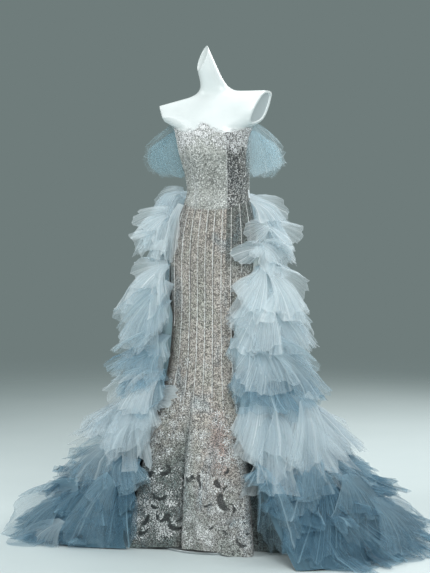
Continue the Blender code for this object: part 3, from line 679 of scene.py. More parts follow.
def makeBodiceBeads(rng):
    gap = bodiceLook["beadGap"]
    rows = []
    for level in np.arange(1.060, 1.330, gap * 0.9):
        around = np.arange(0, 360, math.degrees(gap / 0.1))
        rows.append(np.stack([level + 0 * around, around + rng.uniform(0, 3)], -1))
    spots = np.concatenate(rows)
    spots[:, 0] += rng.uniform(-1, 1, len(spots)) * gap * 0.35
    spots[:, 1] = wrapped(spots[:, 1] + rng.uniform(-1, 1, len(spots)) * 0.9)
    top, bottom = edgeHeight(neckline, spots[:, 1]), edgeHeight(basque, spots[:, 1])
    spots = spots[(spots[:, 0] < top - 0.001) & (spots[:, 0] > bottom - 0.004) & (np.abs(spots[:, 1]) < 177.4)]
    heights, angles = spots.T
    centre, normal, up = bodyFrame(bodiceRadius, heights, angles)
    along = turned(up, normal, rng.uniform(-90, 90, len(heights)))
    sizes = beadSizes(rng, len(heights), bodiceLook["beadSize"])
    # on the wearer's left side panel the beads get painted shade, and a more uneven speckle of their own
    side = smoothstep(37, 38, angles) * smoothstep(106, 104, angles)  # the side panel is dimmer and more uneven
    tone = smooth(beadTone[:, 0], beadTone[:, 1], heights) - 0.20 * side
    shades = tone + 0.26 * ripple(centre, bodiceLook["clusters"], 3, 24)
    shades = np.clip(shades + rng.normal(0, 0.16, len(heights)) * (1 + side), 0.02, 1)
    lucky = rng.random(len(heights))
    shades[lucky < 0.06] = 1.0
    shades[lucky > 0.90] *= 0.3
    beads = beadCloud("bodiceBeads", gem, centre + normal * 0.0005, normal, along, sizes, shades,
                      beadMaterial("silverBeads"))


def makeBodiceLeaves(rng, pearl):
    spots = []
    for row, share in enumerate(bodiceLook["leafRows"]):
        around = np.arange(-174, 175, bodiceLook["leafStep"]) + bodiceLook["leafStep"] / 2 * (row % 2)
        level = edgeHeight(neckline, around) - 0.004 - row * bodiceLook["rowGap"]
        keep = (rng.random(len(around)) < share) & (np.abs(around) < 174)
        level = level + rng.normal(0, 0.002, len(around))
        spots.append(np.stack([level, around + rng.normal(0, 1, len(around))], -1)[keep])
    heights, angles = np.concatenate(spots).T
    sprigs = laceSprigs("bodiceSprigs", bodiceRadius, heights, angles, bodiceLook["leafSize"], 41, pearl)


def makeSeamBeads(rng, pearl):
    # small beads along the neckline and the seams
    around = np.arange(-177.3, 177.4, bodiceLook["trimTurn"])
    lines = [np.stack([scallopedEdge(around) - 0.0006, around], -1)]
    front, back = bodiceLook["seams"]
    for seam in (-back, -front, front, back):
        tall = np.arange(edgeHeight(basque, seam), edgeHeight(neckline, seam), bodiceLook["trimGap"])
        lines.append(np.stack([tall, 0 * tall + seam], -1))
    heights, angles = np.concatenate(lines).T
    centre, normal, up = bodyFrame(bodiceRadius, heights, angles)
    sizes = np.full((len(heights), 3), bodiceLook["trimBead"]) * rng.uniform(0.85, 1.15, (len(heights), 1))
    shades = np.clip(rng.normal(0.7, 0.2, len(heights)), 0, 1)
    trim = beadCloud("bodiceSeamBeads", gem, centre + normal * 0.0010, normal, up, sizes, shades, pearl)


makeBodice()
bodiceDraws = np.random.default_rng(11)
makeBodiceBeads(bodiceDraws)
pearlBeads = beadMaterial("laceLeaves")
makeBodiceLeaves(bodiceDraws, pearlBeads)
makeSeamBeads(bodiceDraws, pearlBeads)
print("bodice made")

# The closed zip down the back
zipLook = {"tape": "#5c5f5f", "tapeDark": "#3c3f40", "halfTurn": 2.25, "rows": 60, "columns": 9, "tapeOff": 0.0010,
           "leastWidth": 0.0101, "length": 0.145, "teeth": (1.088, 1.252, 0.0024),  # teeth: from, to, gap
           "toothTurn": 0.35, "toothOff": 0.0012, "toothSize": (0.0016, 0.0008, 0.0008)}


def toothRadius(heights, angles):
    return figureRadius(heights, angles) + fit["clothOffForm"] + zipLook["toothOff"]


def makeZip():
    tape = newMaterial("zipTape", 0.75, sheen=0.2)
    weave = cells(tape, coordinates(tape), 1400.0)
    colour = colourRamp(tape, weave, [(0.2, zipLook["tape"]), (0.7, zipLook["tapeDark"])])
    finish(tape, colour, (weave, 0.65, 0.85), (weave, 0.4, 0.0004))
    heights = np.linspace(edgeHeight(neckline, 180), edgeHeight(basque, 178), zipLook["rows"])[:, None]
    turns = 180 + np.linspace(-zipLook["halfTurn"], zipLook["halfTurn"], zipLook["columns"])[None, :]
    grid, turn = np.broadcast_arrays(heights, turns)
    points = placed(figureRadius(grid, turn) + fit["clothOffForm"] + zipLook["tapeOff"], grid, turn)
    piece = clothSheet("zipTapePiece", points, tape)
    standsFor(piece, "back_zip")
    levels = np.arange(*zipLook["teeth"])
    angles = 180 + np.where(np.arange(len(levels)) % 2, zipLook["toothTurn"], -zipLook["toothTurn"])
    centre, normal, up = bodyFrame(toothRadius, levels, angles)
    sizes = np.tile(zipLook["toothSize"], (len(levels), 1))
    teeth = beadCloud("zipTeeth", gem, centre + normal * 0.0004, normal, np.cross(normal, up), sizes,
                      np.full(len(levels), 0.5), steelMaterial("zipMetal"))


makeZip()
print("zip made")

# The beaded lace skirt
skirtLook = {
    # the last colour on the next line is painted shade in the grooves beside the bead lines
    "light": "#d2d1cc", "middle": "#8a8984", "dark": "#34373a", "net": "#171b1d", "grooveShade": "#33322f",
    # the shade colour on the next line is multiplied in as painted shade, and for a darker band over the thighs
    "warm": "#e6cfcb", "cool": "#c4d6e0", "shade": "#a6b4b6",
    "patches": [(0.25, "#8e938f"), (0.42, "#b0aea3"), (0.55, "#c9b9b2"), (0.66, "#a3b2bf"), (0.8, "#b3b3a8")],
    "rows": 216, "shownTo": 66, "column": 0.62, "backColumn": 1.6,  # degrees a column covers, in front and behind
    "cordLines": 24, "cordBeadGap": 0.0040, "cordBead": (0.0024, 0.0019, 0.0018), "rib": 0.0010, "ribWide": 0.0022,
    "sequins": 19000, "sequinSize": ((0.0014, 0.0030), (0.0008, 0.0014), (0.0006, 0.0011)), "clusters": 0.010,
    "sprigs": 200, "sprigTries": 4000, "sprigSize": 0.0115,
}
cordStep = 360.0 / skirtLook["cordLines"]  # degrees
netGaps = np.array([  # gaps of bare net: angle, height, half length and width in metres, tilt, bend
    (-38, 0.160, 0.015, 0.0060, 12, 0.5), (-43, 0.133, 0.011, 0.0050, -40, 0.3), (-34, 0.100, 0.016, 0.0060, 62, 0.3),
    (-29, 0.070, 0.017, 0.0060, -35, 0.4), (-46, 0.090, 0.018, 0.0050, 75, 0.2), (24, 0.163, 0.030, 0.0120, -68, 0.3),
    (20, 0.217, 0.014, 0.0080, -50, 0.3), (38, 0.037, 0.018, 0.0060, -32, 0.5), (46, 0.212, 0.012, 0.0055, 80, 0.2),
    (30, 0.258, 0.013, 0.0050, 60, 0.4), (49, 0.110, 0.015, 0.0055, 68, 0.3),
])
skirtTroughs = np.array([  # angle, half width in degrees, depth, height where it fades in
    (-48.0, 4.5, 0.010, 0.40), (-26.0, 3.6, 0.018, 0.46), (-6.0, 5.0, 0.006, 0.34), (17.0, 5.0, 0.008, 0.52),
    (33.0, 4.0, 0.007, 0.36), (58.0, 4.5, 0.014, 0.42),
])


def skirtSurface(heights, angles):
    cord = np.abs(nearest(angles, cordStep)) * 0.0023
    rib = skirtLook["rib"] * near(cord, 0, skirtLook["ribWide"]) * smoothstep(0.46, 0.66, heights)
    fine = 0.00175 * smoothstep(0.62, 0.20, heights) * (
        np.sin(np.radians(angles * 19 + 40 * np.sin(heights * 9)))
        + 0.6 * np.sin(np.radians(angles * 41 + 90 * np.sin(heights * 6 + 1))))
    trough = 0
    for angle, wide, depth, level in skirtTroughs:
        lean = angle + 8.0 * (level - heights)
        trough = trough + depth * near(angles, lean, wide) * smoothstep(level, level - 0.30, heights)
    return skirtRadius(heights, angles) + fit["skirtThick"] + rib + fine - trough


def threads(material, where, scale, detail, distortion):
    # dark where the noise crosses its middle, which draws curling lines
    middle = mathNode(material, "SUBTRACT", noise(material, where, scale, detail, 0.5, distortion), 0.5)
    return mathNode(material, "ABSOLUTE", middle)


def laceMaterial():
    # beaded lace: dark curls between pale threads, painted shade in grooves beside the bead lines, and gaps of bare
    # net near the hem
    material = newMaterial("skirtLace", 0.55, metallic=0.05, sheen=0.2)
    where = coordinates(material)
    speckle = cells(material, where, 310.0)
    fine = threads(material, where, 265.0, 1.0, 0.6)
    lines = scaledSum(material, fine, 0.55, threads(material, where, 135.0, 1.5, 0.9))
    lines = scaledSum(material, speckle, -0.05, lines)
    colour = colourRamp(material, lines, [(0.02, skirtLook["dark"]), (0.07, skirtLook["middle"]),
                                          (0.15, skirtLook["light"])])
    plain = product(material, attribute(material, "upper"), 0.12)
    colour = mixColour(material, plain, colour, skirtLook["middle"])
    slow = noise(material, coordinates(material, (1, 1, 0.4)), 9.0, 3.0, 0.6, 1.0)
    colour = mixColour(material, 0.8, colour, colourRamp(material, slow, skirtLook["patches"]), "SOFT_LIGHT")
    for tint in ("warm", "cool", "shade"):
        colour = mixColour(material, attribute(material, tint), colour, skirtLook[tint], "MULTIPLY")
    uneven = noise(material, where, 60.0, 3.0)
    # the groove attribute paints shade beside the bead lines
    grooveShade = product(material, attribute(material, "groove"), uneven, clamp=True)
    colour = mixColour(material, grooveShade, colour, skirtLook["grooveShade"])
    bare = scaledSum(material, attribute(material, "window"), 2.4, -0.50, clamp=True)
    window = product(material, bare, scaledSum(material, speckle, -0.6, 1.2), clamp=True)
    colour = mixColour(material, window, colour, skirtLook["net"])
    return finish(material, colour, (speckle, 0.4, 0.7), (scaledSum(material, window, -0.2, lines), 0.7, 0.003))


def netWindows(points, heights):
    # where the lace leaves the net bare: curved gaps a finger wide, from the knee down to the hem
    curve = near(ripple(points, 0.075, 61, 14), -0.50, 0.10)
    gaps = curve * smoothstep(-0.29, -0.17, ripple(points, 0.045, 62, 14)) * smoothstep(0.36, 0.20, heights)
    gaps = gaps * smoothstep(0.02, 0.05, heights)
    turn = np.degrees(np.arctan2(points[..., 0], -points[..., 1]))
    girth = np.hypot(points[..., 0], points[..., 1])
    for angle, level, long, wide, tilt, bend in netGaps:
        across, up, lean = np.radians(turn - angle) * girth, heights - level, math.radians(tilt)
        along = across * math.cos(lean) + up * math.sin(lean)
        aside = up * math.cos(lean) - across * math.sin(lean) - bend * along ** 2 / long
        gaps = np.maximum(gaps, np.exp(-(along / long) ** 4 - (aside / wide) ** 2))
    return gaps


def skirtTints(heights, angles):
    # a warm patch of lace at the knee, a cool one beside the left fold, painted shade on the gores at both sides of
    # the hem and on the wearer's left past the side seam at the hip, and a darker band across the front of the thighs
    cool = spot(angles, heights, -19, 9, 0.28, 0.16) + 0.6 * smoothstep(0.34, 0.12, heights)
    shade = smoothstep(0.42, 0.22, heights) * (smoothstep(-22, -30, angles) + smoothstep(44, 54, angles))
    shade = shade + smoothstep(0.78, 0.96, heights) * smoothstep(36, 38.5, angles)
    shade = shade + 0.35 * near(heights, 0.86, 0.09) * near(angles, -4, 26)
    return {"warm": spot(angles, heights, 24, 13, 0.33, 0.12), "cool": np.clip(cool, 0, 1), "shade": shade,
            "upper": smoothstep(0.38, 0.56, heights)}


def skirtGrooveShade(heights, turns):
    # painted shade in dark lines: one beside each bead line, some deeper than others, and a finer set of four to each
    # under the waist
    line = np.round((turns - 1.3) / cordStep)
    deep = 0.55 + 0.45 * np.sin(np.radians(line * 137))
    groove = 2.2 * deep * near(nearest(turns - 1.3, cordStep), 0, 0.8) * smoothstep(0.36, 0.60, heights)
    return groove + 1.1 * near(nearest(turns, cordStep / 4), 0, 0.6) * smoothstep(0.84, 1.0, heights)


def skirtColumns(start, end):
    # the angles of a gore's columns, closer together where the photo shows them
    across = np.linspace(start + 0.05, end - 0.05, 900)
    shown = np.abs(across) < skirtLook["shownTo"]
    density = np.cumsum(np.where(shown, 1 / skirtLook["column"], 1 / skirtLook["backColumn"]))
    count = int(np.ptp(density) * np.ptp(across) / len(across)) + 1
    return np.interp(np.linspace(density[0], density[-1], count), density, across)


def makeSkirt():
    lace, rows = laceMaterial(), skirtLook["rows"]
    for name, ending, start, end in panelSeams(180.0):
        angles = skirtColumns(start, end)
        top, hem = edgeHeight(basque, angles) - 0.0004, hemValue(2, angles)
        heights = hem + (top - hem) * np.linspace(1, 0, rows)[:, None]
        turns = np.broadcast_to(angles, heights.shape)
        points = placed(skirtSurface(heights, turns) + fit["laceThick"], heights, turns)
        panel = clothSheet(f"skirt{name}", points, lace, {
            "groove": skirtGrooveShade(heights, turns), "window": netWindows(points, heights),
            **skirtTints(heights, turns)})
        standsFor(panel, f"skirt_{ending}")
def uncovered(heights, angles, margin):
    # true where the train doesn't lie over the skirt
    rightEdge, leftEdge = trainEdges(heights, margin)
    return (angles > rightEdge) & (angles < leftEdge)


def makeSequins(rng, silver):
    for part, (low, high) in {"Lower": (0.012, 0.42), "Upper": (0.42, 1.09)}.items():
        heights = rng.uniform(low, high, skirtLook["sequins"] * 4)
        angles = rng.uniform(-180, 180, len(heights))
        shown = uncovered(heights, angles, 6) & (heights < edgeHeight(basque, angles))
        shown &= rng.random(len(heights)) < np.clip(skirtRadius(heights, angles) / 0.26, 0.3, 1)
        heights, angles = heights[shown], angles[shown]
        centre, normal, up = bodyFrame(skirtSurface, heights, angles)
        bare = rng.random(len(heights)) < 3.0 * netWindows(centre, heights)
        kept = np.flatnonzero(~bare)[:skirtLook["sequins"]]
        centre, normal, up, heights, angles = centre[kept], normal[kept], up[kept], heights[kept], angles[kept]
        along = turned(up, normal, rng.uniform(-90, 90, len(kept)))
        sizes = beadSizes(rng, len(kept), skirtLook["sequinSize"])
        shades = 0.50 + 0.28 * ripple(centre, skirtLook["clusters"], 5, 24) + rng.normal(0, 0.24, len(kept))
        tints = skirtTints(heights, angles)
        # the sequins take the painted shade too, and the cool tint
        shades = np.clip(shades - 0.16 * tints["shade"] - 0.08 * tints["cool"], 0.02, 1)
        beads = beadCloud(f"skirtSequins{part}", sequin, centre + normal * 0.0011, normal, along, sizes, shades,
                          silver)


def makeBeadLines(rng, silver):
    lines = []
    for k in range(skirtLook["cordLines"]):
        angle = float(wrapped(k * cordStep))
        tall = np.arange(0.36, edgeHeight(basque, angle), skirtLook["cordBeadGap"])
        keep = uncovered(tall, angle, 6) & (rng.random(len(tall)) < smoothstep(0.34, 0.56, tall) + 0.10)
        lines.append(np.stack([tall, 0 * tall + angle], -1)[keep])
    heights, angles = np.concatenate(lines).T
    centre, normal, up = bodyFrame(skirtSurface, heights, angles)
    sizes = np.tile(skirtLook["cordBead"], (len(heights), 1)) * rng.uniform(0.9, 1.1, (len(heights), 1))
    shades = np.clip(rng.normal(0.88, 0.12, len(heights)), 0, 1)
    cords = beadCloud("skirtBeadLines", gem, centre + normal * 0.0020, normal, up, sizes, shades, silver)


def makeSkirtFlowers(rng):
    # lace flowers, thick at the hem and thinning towards the knee
    tries = skirtLook["sprigTries"]
    heights, angles = rng.uniform(0.03, 0.62, tries), rng.uniform(-70, 70, tries)
    keep = uncovered(heights, angles, 4) & (rng.random(tries) < smoothstep(0.62, 0.10, heights) + 0.04)
    keep &= rng.random(tries) < skirtRadius(heights, angles) / 0.24
    heights, angles = heights[keep][:skirtLook["sprigs"]], angles[keep][:skirtLook["sprigs"]]
    flowers = laceSprigs("skirtSprigs", skirtSurface, heights, angles, skirtLook["sprigSize"], 43,
                         beadMaterial("laceFlowers"), netWindows)


makeSkirt()
skirtDraws = np.random.default_rng(23)
skirtBeads = beadMaterial("skirtBeads")
makeSequins(skirtDraws, skirtBeads)
makeBeadLines(skirtDraws, skirtBeads)
makeSkirtFlowers(skirtDraws)
print("skirt made")

# Tulle
# the folds' colour is paler where layers stack at a fold, and a painted highlight besides
tulleLook = {  # colour of the cloth and of its folds, how much one layer covers, and the slot of its finish
    "ice": ("#e0ecf1", "#fafeff", 0.58, "pale_tulle"), "pale": ("#d2e1e8", "#f2fafd", 0.52, "pale_tulle"),
    "crisp": ("#d2e1e8", "#f6fcfe", 0.76, "pale_tulle"), "mist": ("#bdd2db", "#e6f0f4", 0.50, "pale_tulle"),
    "mid": ("#8aaec0", "#c4dae4", 0.52, "mid_tulle"), "deep": ("#5a839a", "#a3c6d6", 0.56, "deep_tulle"),
    "sleeve": ("#b5d0d9", "#e6f1f5", 0.31, "mid_tulle"), "sleeveFan": ("#bcd4dd", "#eef7fa", 0.44, "mid_tulle"),
    "sleeveShade": ("#95b5bf", "#c9dbe1", 0.33, "mid_tulle"),
}
tulleShine = {"through": 0.45, "streaksAcross": 105.0, "streaksDown": 1.6, "netAcross": 620.0,
              "past": 0.034, "softly": 0.07}  # metres that tulle may spread past the gown's box, and slows down over


def tulleMaterial(name):
    base, fold, cover, _ = tulleLook[name]
    material = newMaterial(f"tulle{name.capitalize()}", 0.7, sheen=0.2)
    shader = shaderOf(material)
    feed(material, shader, {"Sheen Roughness": 0.4, "Specular IOR Level": 0.25})
    crease = mathNode(material, "POWER", attribute(material, "crease"), 2.0)
    gather, sheer = attribute(material, "gather"), attribute(material, "sheer")
    along = coordinates(material, (tulleShine["streaksAcross"], tulleShine["streaksDown"], 1), "UV")
    streaks = noise(material, along, 1.0, 3.0, 0.65)
    net = cells(material, coordinates(material, (tulleShine["netAcross"],) * 2 + (1,), "UV"), 1.0)
    slow = noise(material, coordinates(material), 14.0, 2.0)
    # creases and the hem edge take the folds' colour: a painted highlight over the paler stacked layers
    tone = scaledSum(material, streaks, 1.1, -0.42)
    tone = scaledSum(material, crease, 0.8, tone)
    tone = scaledSum(material, slow, 0.3, tone)
    tone = scaledSum(material, net, -0.10, tone, clamp=True)
    colour = mixColour(material, tone, base, fold)
    cover = scaledSum(material, crease, 0.38, cover - 0.16)
    cover = scaledSum(material, gather, 0.30, cover)
    cover = scaledSum(material, sheer, -0.24, cover)
    cover = scaledSum(material, streaks, 0.40, cover)
    cover = scaledSum(material, net, -0.14, cover, clamp=True)
    crinkle = mathNode(material, "ADD", streaks, noise(material, coordinates(material), 90.0, 3.0))
    finish(material, colour, (slow, 0.6, 0.8), (crinkle, 0.3, 0.003))
    # light that passes through the threads, then the holes between them
    behind = addNode(material, "ShaderNodeBsdfTranslucent", {"Color": colour})
    lit = addNode(material, "ShaderNodeMixShader", {0: tulleShine["through"], 1: shader.outputs[0],
                                                    2: behind.outputs[0]})
    clear = addNode(material, "ShaderNodeBsdfTransparent")
    holes = addNode(material, "ShaderNodeMixShader", {0: cover, 1: clear.outputs[0], 2: lit.outputs[0]})
    feed(material, material.node_tree.nodes["Material Output"], {"Surface": holes.outputs[0]})
    return material


tulle = {name: tulleMaterial(name) for name in tulleLook}


def foldColumns(folds, seed, uneven, perFold=2):
    # columns of an uneven zigzag: place along the strip from 0 to 1, height from -1 to 1, hem tips and creases
    rng = np.random.default_rng(seed)
    gaps = rng.uniform(1 - uneven, 1 + uneven, 2 * folds)
    knots = np.concatenate([[0], np.cumsum(gaps)]) / gaps.sum()
    peaks = np.where(np.arange(2 * folds + 1) % 2, 1.0, -1.0) * rng.uniform(0.2, 1.0, 2 * folds + 1)
    creases = rng.uniform(0, 1, 2 * folds + 1) ** 2.2
    tips = rng.normal(0, 1, 2 * folds + 1)
    t = np.arange(perFold) / perFold
    fine = np.append((np.arange(2 * folds)[:, None] + t).ravel(), 2 * folds)
    order = np.arange(2 * folds + 1)
    crease = np.interp(fine, order, creases) * np.where(fine % 1 == 0, 1, 0.12)
    return np.interp(fine, order, knots), np.interp(fine, order, peaks), np.interp(fine, order, tips), crease


def drift(at, swings, seed):
    # a smooth random curve along a strip, from -1 to 1
    knots = np.linspace(-0.001, 1.001, int(swings) + 2)
    return smooth(knots, np.random.default_rng(seed).uniform(-1, 1, len(knots)), at)


def keptIn(points):
    # the tulle spreads no further than a few centimetres past the gown's box
    past, soft = tulleShine["past"], tulleShine["softly"]
    kept = points.copy()
    for k in range(2):
        beyond = np.maximum(points[..., k] - (cadBox[1][k] + past - soft), 0)
        before = np.maximum((cadBox[0][k] - past + soft) - points[..., k], 0)
        kept[..., k] += soft * (np.tanh(beyond / soft) - np.tanh(before / soft)) - beyond + before
    return kept


def strip(name, points, share, columnCrease, material):
    # a gathered strip of tulle: its folds' values for the material, its cut in the UV map, and its flat size
    points = keptIn(points)
    rows, columns = points.shape[:2]
    along = np.linalg.norm(np.diff(points, axis=1), axis=-1)
    wide = float(along.sum(1)[rows // 2:].mean())
    tall = float(np.linalg.norm(np.diff(points, axis=0), axis=-1).sum(0).mean())
    u = np.concatenate([[0], np.cumsum(along[-1])]) / along[-1].sum() * wide
    uv = np.stack(np.broadcast_arrays(u[None, :], share * tall), -1)
    crease = columnCrease[None, :] * np.ones((rows, 1))
    # the hem edge counts as a crease, so it is more solid and takes a painted highlight
    edge = np.exp(-((1 - share) * tall / 0.0025) ** 2) * 0.45
    crease = np.clip(np.maximum(crease * smoothstep(0.02, 0.3, share), edge), 0, 1)
    gather = np.exp(-share * tall / 0.022) * np.ones((1, columns))
    sheer = share ** 2 * np.ones((1, columns))
    piece = clothSheet(name, points, material, {"crease": crease, "gather": gather, "sheer": sheer}, uv)
    return piece


# The train's underskirt and its waistband
trainLook = {
    "columns": 104, "rows": 90, "fold": 0.0045, "folds": 27, "cutBack": 22.0, "turnedIn": 0.006,
    # these colours are dyed net, darker towards the floor with painted shade under the tiers
    "dyeAndShade": [(0.10, "#3f5f6e"), (0.42, "#4d666f"), (0.60, "#5f7479"), (0.80, "#879a9e"), (0.93, "#d9dcd8")],
}
bandLook = {"top": 1.122, "tall": 0.0255, "from": 90, "to": 292.5, "columns": 180, "rows": 7, "puff": 0.0009,
            "wrinkle": 0.0004, "wrinkles": 31, "shades": [(0.3, "#c3d0d5"), (0.7, "#e4edf0")]}


def makeUnderskirt():
    drops = np.linspace(0.0, trainLength, trainLook["rows"])[:, None]
    heights = smooth(trainMap["lengths"], trainFall[:, 0], drops)
    right, left = trainEdges(heights, trainLook["cutBack"] * smoothstep(0.72, 0.84, heights))
    across = np.linspace(0, 1, trainLook["columns"])[None, :]
    for name, node, start, angles in (("trainLeft", "train_left", left, left + (179.9 - left) * across),
                                      ("trainRight", "train_right", right, 180.1 + (179.9 + right) * across)):
        wave = 1 + np.sin(np.radians(angles * trainLook["folds"]))
        edge = np.abs(wrapped(angles - start))
        turnedIn = trainLook["turnedIn"] * (1 - smoothstep(0, 9, edge)) * smoothstep(0.1, 0.5, heights)
        offset = trainLook["fold"] * smoothstep(0.1, 0.6, drops) * wave * 0.5 * smoothstep(0, 12, edge) - turnedIn
        points = trainPoint(drops, angles, offset)
        points[..., 2] = np.maximum(points[..., 2], fit["floorGap"])
        crease = 0.5 + 0.5 * np.sin(np.radians(angles[0] * trainLook["folds"]))
        share = np.broadcast_to(drops / trainLength, points.shape[:2])
        piece = strip(name, points, share, crease ** 6 * 0.5, tulle["underskirt"])
        standsFor(piece, node)


def makeWaistband():
    angles = np.linspace(bandLook["from"], bandLook["to"], bandLook["columns"])
    across = np.linspace(0, 1, bandLook["rows"])[:, None]
    heights = bandLook["top"] - bandLook["tall"] * across + 0 * angles
    swell = np.sin(math.pi * across)
    puff = bandLook["puff"] * swell + bandLook["wrinkle"] * np.sin(np.radians(angles * bandLook["wrinkles"])) * swell
    turns = np.broadcast_to(angles, heights.shape)
    radius = bodiceRadius(heights, turns) + fit["bandOff"] + puff
    piece = strip("trainBand", placed(radius, heights, turns), np.broadcast_to(across, heights.shape),
                  0 * angles, tulle["bandSatin"])
    standsFor(piece, "train_waistband")


def satinMaterial():
    material = newMaterial("bandSatin", 0.4, sheen=0.3)
    weave = noise(material, coordinates(material, (900, 900, 1), "UV"), 1.0, 2.0)
    colour = colourRamp(material, weave, bandLook["shades"])
    return finish(material, colour, (weave, 0.3, 0.5), (weave, 0.3, 0.0003))


def dyedShadedUnderskirt():
    # the underskirt's net is pale under the waist and teal from the knee down: dyed, and darkened towards the floor
    # with painted shade
    material = newMaterial("dyedShadedUnderskirt", 0.7, sheen=0.2)
    where = coordinates(material)
    height = addNode(material, "ShaderNodeSeparateXYZ", {0: where}).outputs["Z"]
    level = scaledSum(material, noise(material, where, 9.0, 2.0), 0.12, height)
    streaks = noise(material, coordinates(material, (120, 2, 1), "UV"), 1.0, 3.0, 0.65)
    light = colourRamp(material, streaks, [(0.3, (0.3, 0.3, 0.3)), (0.8, (0.75, 0.8, 0.82))])
    colour = mixColour(material, streaks, colourRamp(material, level, trainLook["dyeAndShade"]), light, "OVERLAY")
    return finish(material, colour, (streaks, 0.6, 0.8), (streaks, 0.3, 0.002))


tulle["underskirt"] = dyedShadedUnderskirt()
tulle["bandSatin"] = satinMaterial()
makeUnderskirt()
makeWaistband()
print("underskirt and waistband made")

# The ruffle tiers
tiers = [  # top, length, reach, waves, depth, jag, right edge, left edge, right fan, left fan, turn, folds, tulle
    (0.006, 0.098, 0.098, 10, 0.22, 0.10, -64, 86, 4, 0, 0.0, "pale"),
    (0.072, 0.104, 0.118, 11, 0.24, 0.12, -62, 80, 8, 2, 1.1, "ice"),
    (0.140, 0.116, 0.114, 12, 0.24, 0.12, -60, 60, 12, 6, 2.5, "ice"),
    (0.215, 0.158, 0.135, 14, 0.24, 0.10, -56, 43, 14, 8, 0.6, "ice"),
    (0.325, 0.160, 0.126, 15, 0.24, 0.10, -52, 36, 16, 6, 3.4, "pale"),
    (0.435, 0.160, 0.116, 17, 0.24, 0.10, -50, 35, 16, 6, 1.8, "mist"),
    (0.545, 0.150, 0.102, 18, 0.24, 0.11, -49, 37, 18, 7, 4.2, "mid"),
    (0.655, 0.245, 0.098, 20, 0.24, 0.10, -48, 39, 20, 9, 0.9, "pale"),
    (0.855, 0.138, 0.100, 21, 0.24, 0.12, -48, 44, 18, 8, 2.2, "mid"),
    (0.950, 0.165, 0.096, 21, 0.24, 0.12, -47, 47, 10, 3, 5.1, "deep"),
    (1.070, 0.240, 0.088, 21, 0.22, 0.14, -46, 48, 0, 0, 3.0, "deep"),
]
ruffleLook = {
    "foldsPerWave": 5.0, "fold": 0.0085, "rows": 15, "uneven": 0.7, "tips": 0.055, "lowerFolds": 0.65,
    "sway": 0.034, "swing": 0.014, "pitch": 0.26, "hemWander": 0.24, "wanders": (1.7, 1.3, 1.6, 2.2),
    "crumple": 0.0045, "bigCrumple": 0.018, "bigFrom": 9, "pinch": 0.62, "pinches": 0.9,
    "rise": ((0, 0), (0.38, 0.68), (1, 1)),  # share of the way down a tier, share of its reach
    "restingRise": ((0, 0), (0.26, 0.50), (0.60, 0.60), (1, 0.08)),
    "layers": ((1.0, 0.98, 0), (0.84, 1.12, 50), (0.66, 0.88, 90)),  # reach, length and seed of each layer
    # below, by number of the tier: share of the length lost at its corners, and at the right one of some
    "corner": 0.60, "shortCorner": {1: 0.15, 2: 0.15, 3: 0.20, 4: 0.30},
    # degrees by which the left end's seam starts further back
    "seamBack": 4, "cutBack": {1: 6, 2: 12, 3: 38, 4: 34, 5: 26},
    # how far a stiff tier arches up from its seam; how much less, angle and width at the left hip
    "lift": {1: 0.034, 2: 0.022, 3: 0.016, 4: 0.014}, "flatHip": (1.5, 96, 42),
    # metres by which the hem is raised at the right and left hip; angle and width of both
    "sideLift": {1: (0.0, -0.050), 2: (0.020, 0.010), 3: (0.075, 0.040), 4: (0.0, -0.030), 7: (0.055, 0.0),
                 8: (0.080, 0.0)},
    "raisedAt": ((292, 30), (96, 34)),
    # share of the reach lost there; angle and width of both
    "tuck": {1: (0.35, 0.0), 2: (0.10, 0.16), 3: (0.50, 0.42), 7: (0.25, 0.0)}, "tuckedAt": ((290, 26), (100, 24)),
}


def pinched(around, count, seed, amount):
    # columns drawn together at uneven points along the seam, so that the cloth fans out from them
    rng = np.random.default_rng(seed)
    steps = np.concatenate([[0], np.cumsum(rng.uniform(0.5, 1.5, count))])
    steps /= steps[-1]
    at = np.interp(around, steps, np.arange(count + 1))
    bunched = np.floor(at) + smoothstep(0, 1, smoothstep(0, 1, at - np.floor(at)))
    return around + (np.interp(bunched, np.arange(count + 1), steps) - around) * amount


def girthAt(drop):
    # about how far the fall is from the middle of the body, to turn metres into an angle
    return 0.16 + 0.35 * drop


tierPoints = []  # outer points of the finished tiers, which the fans stand on


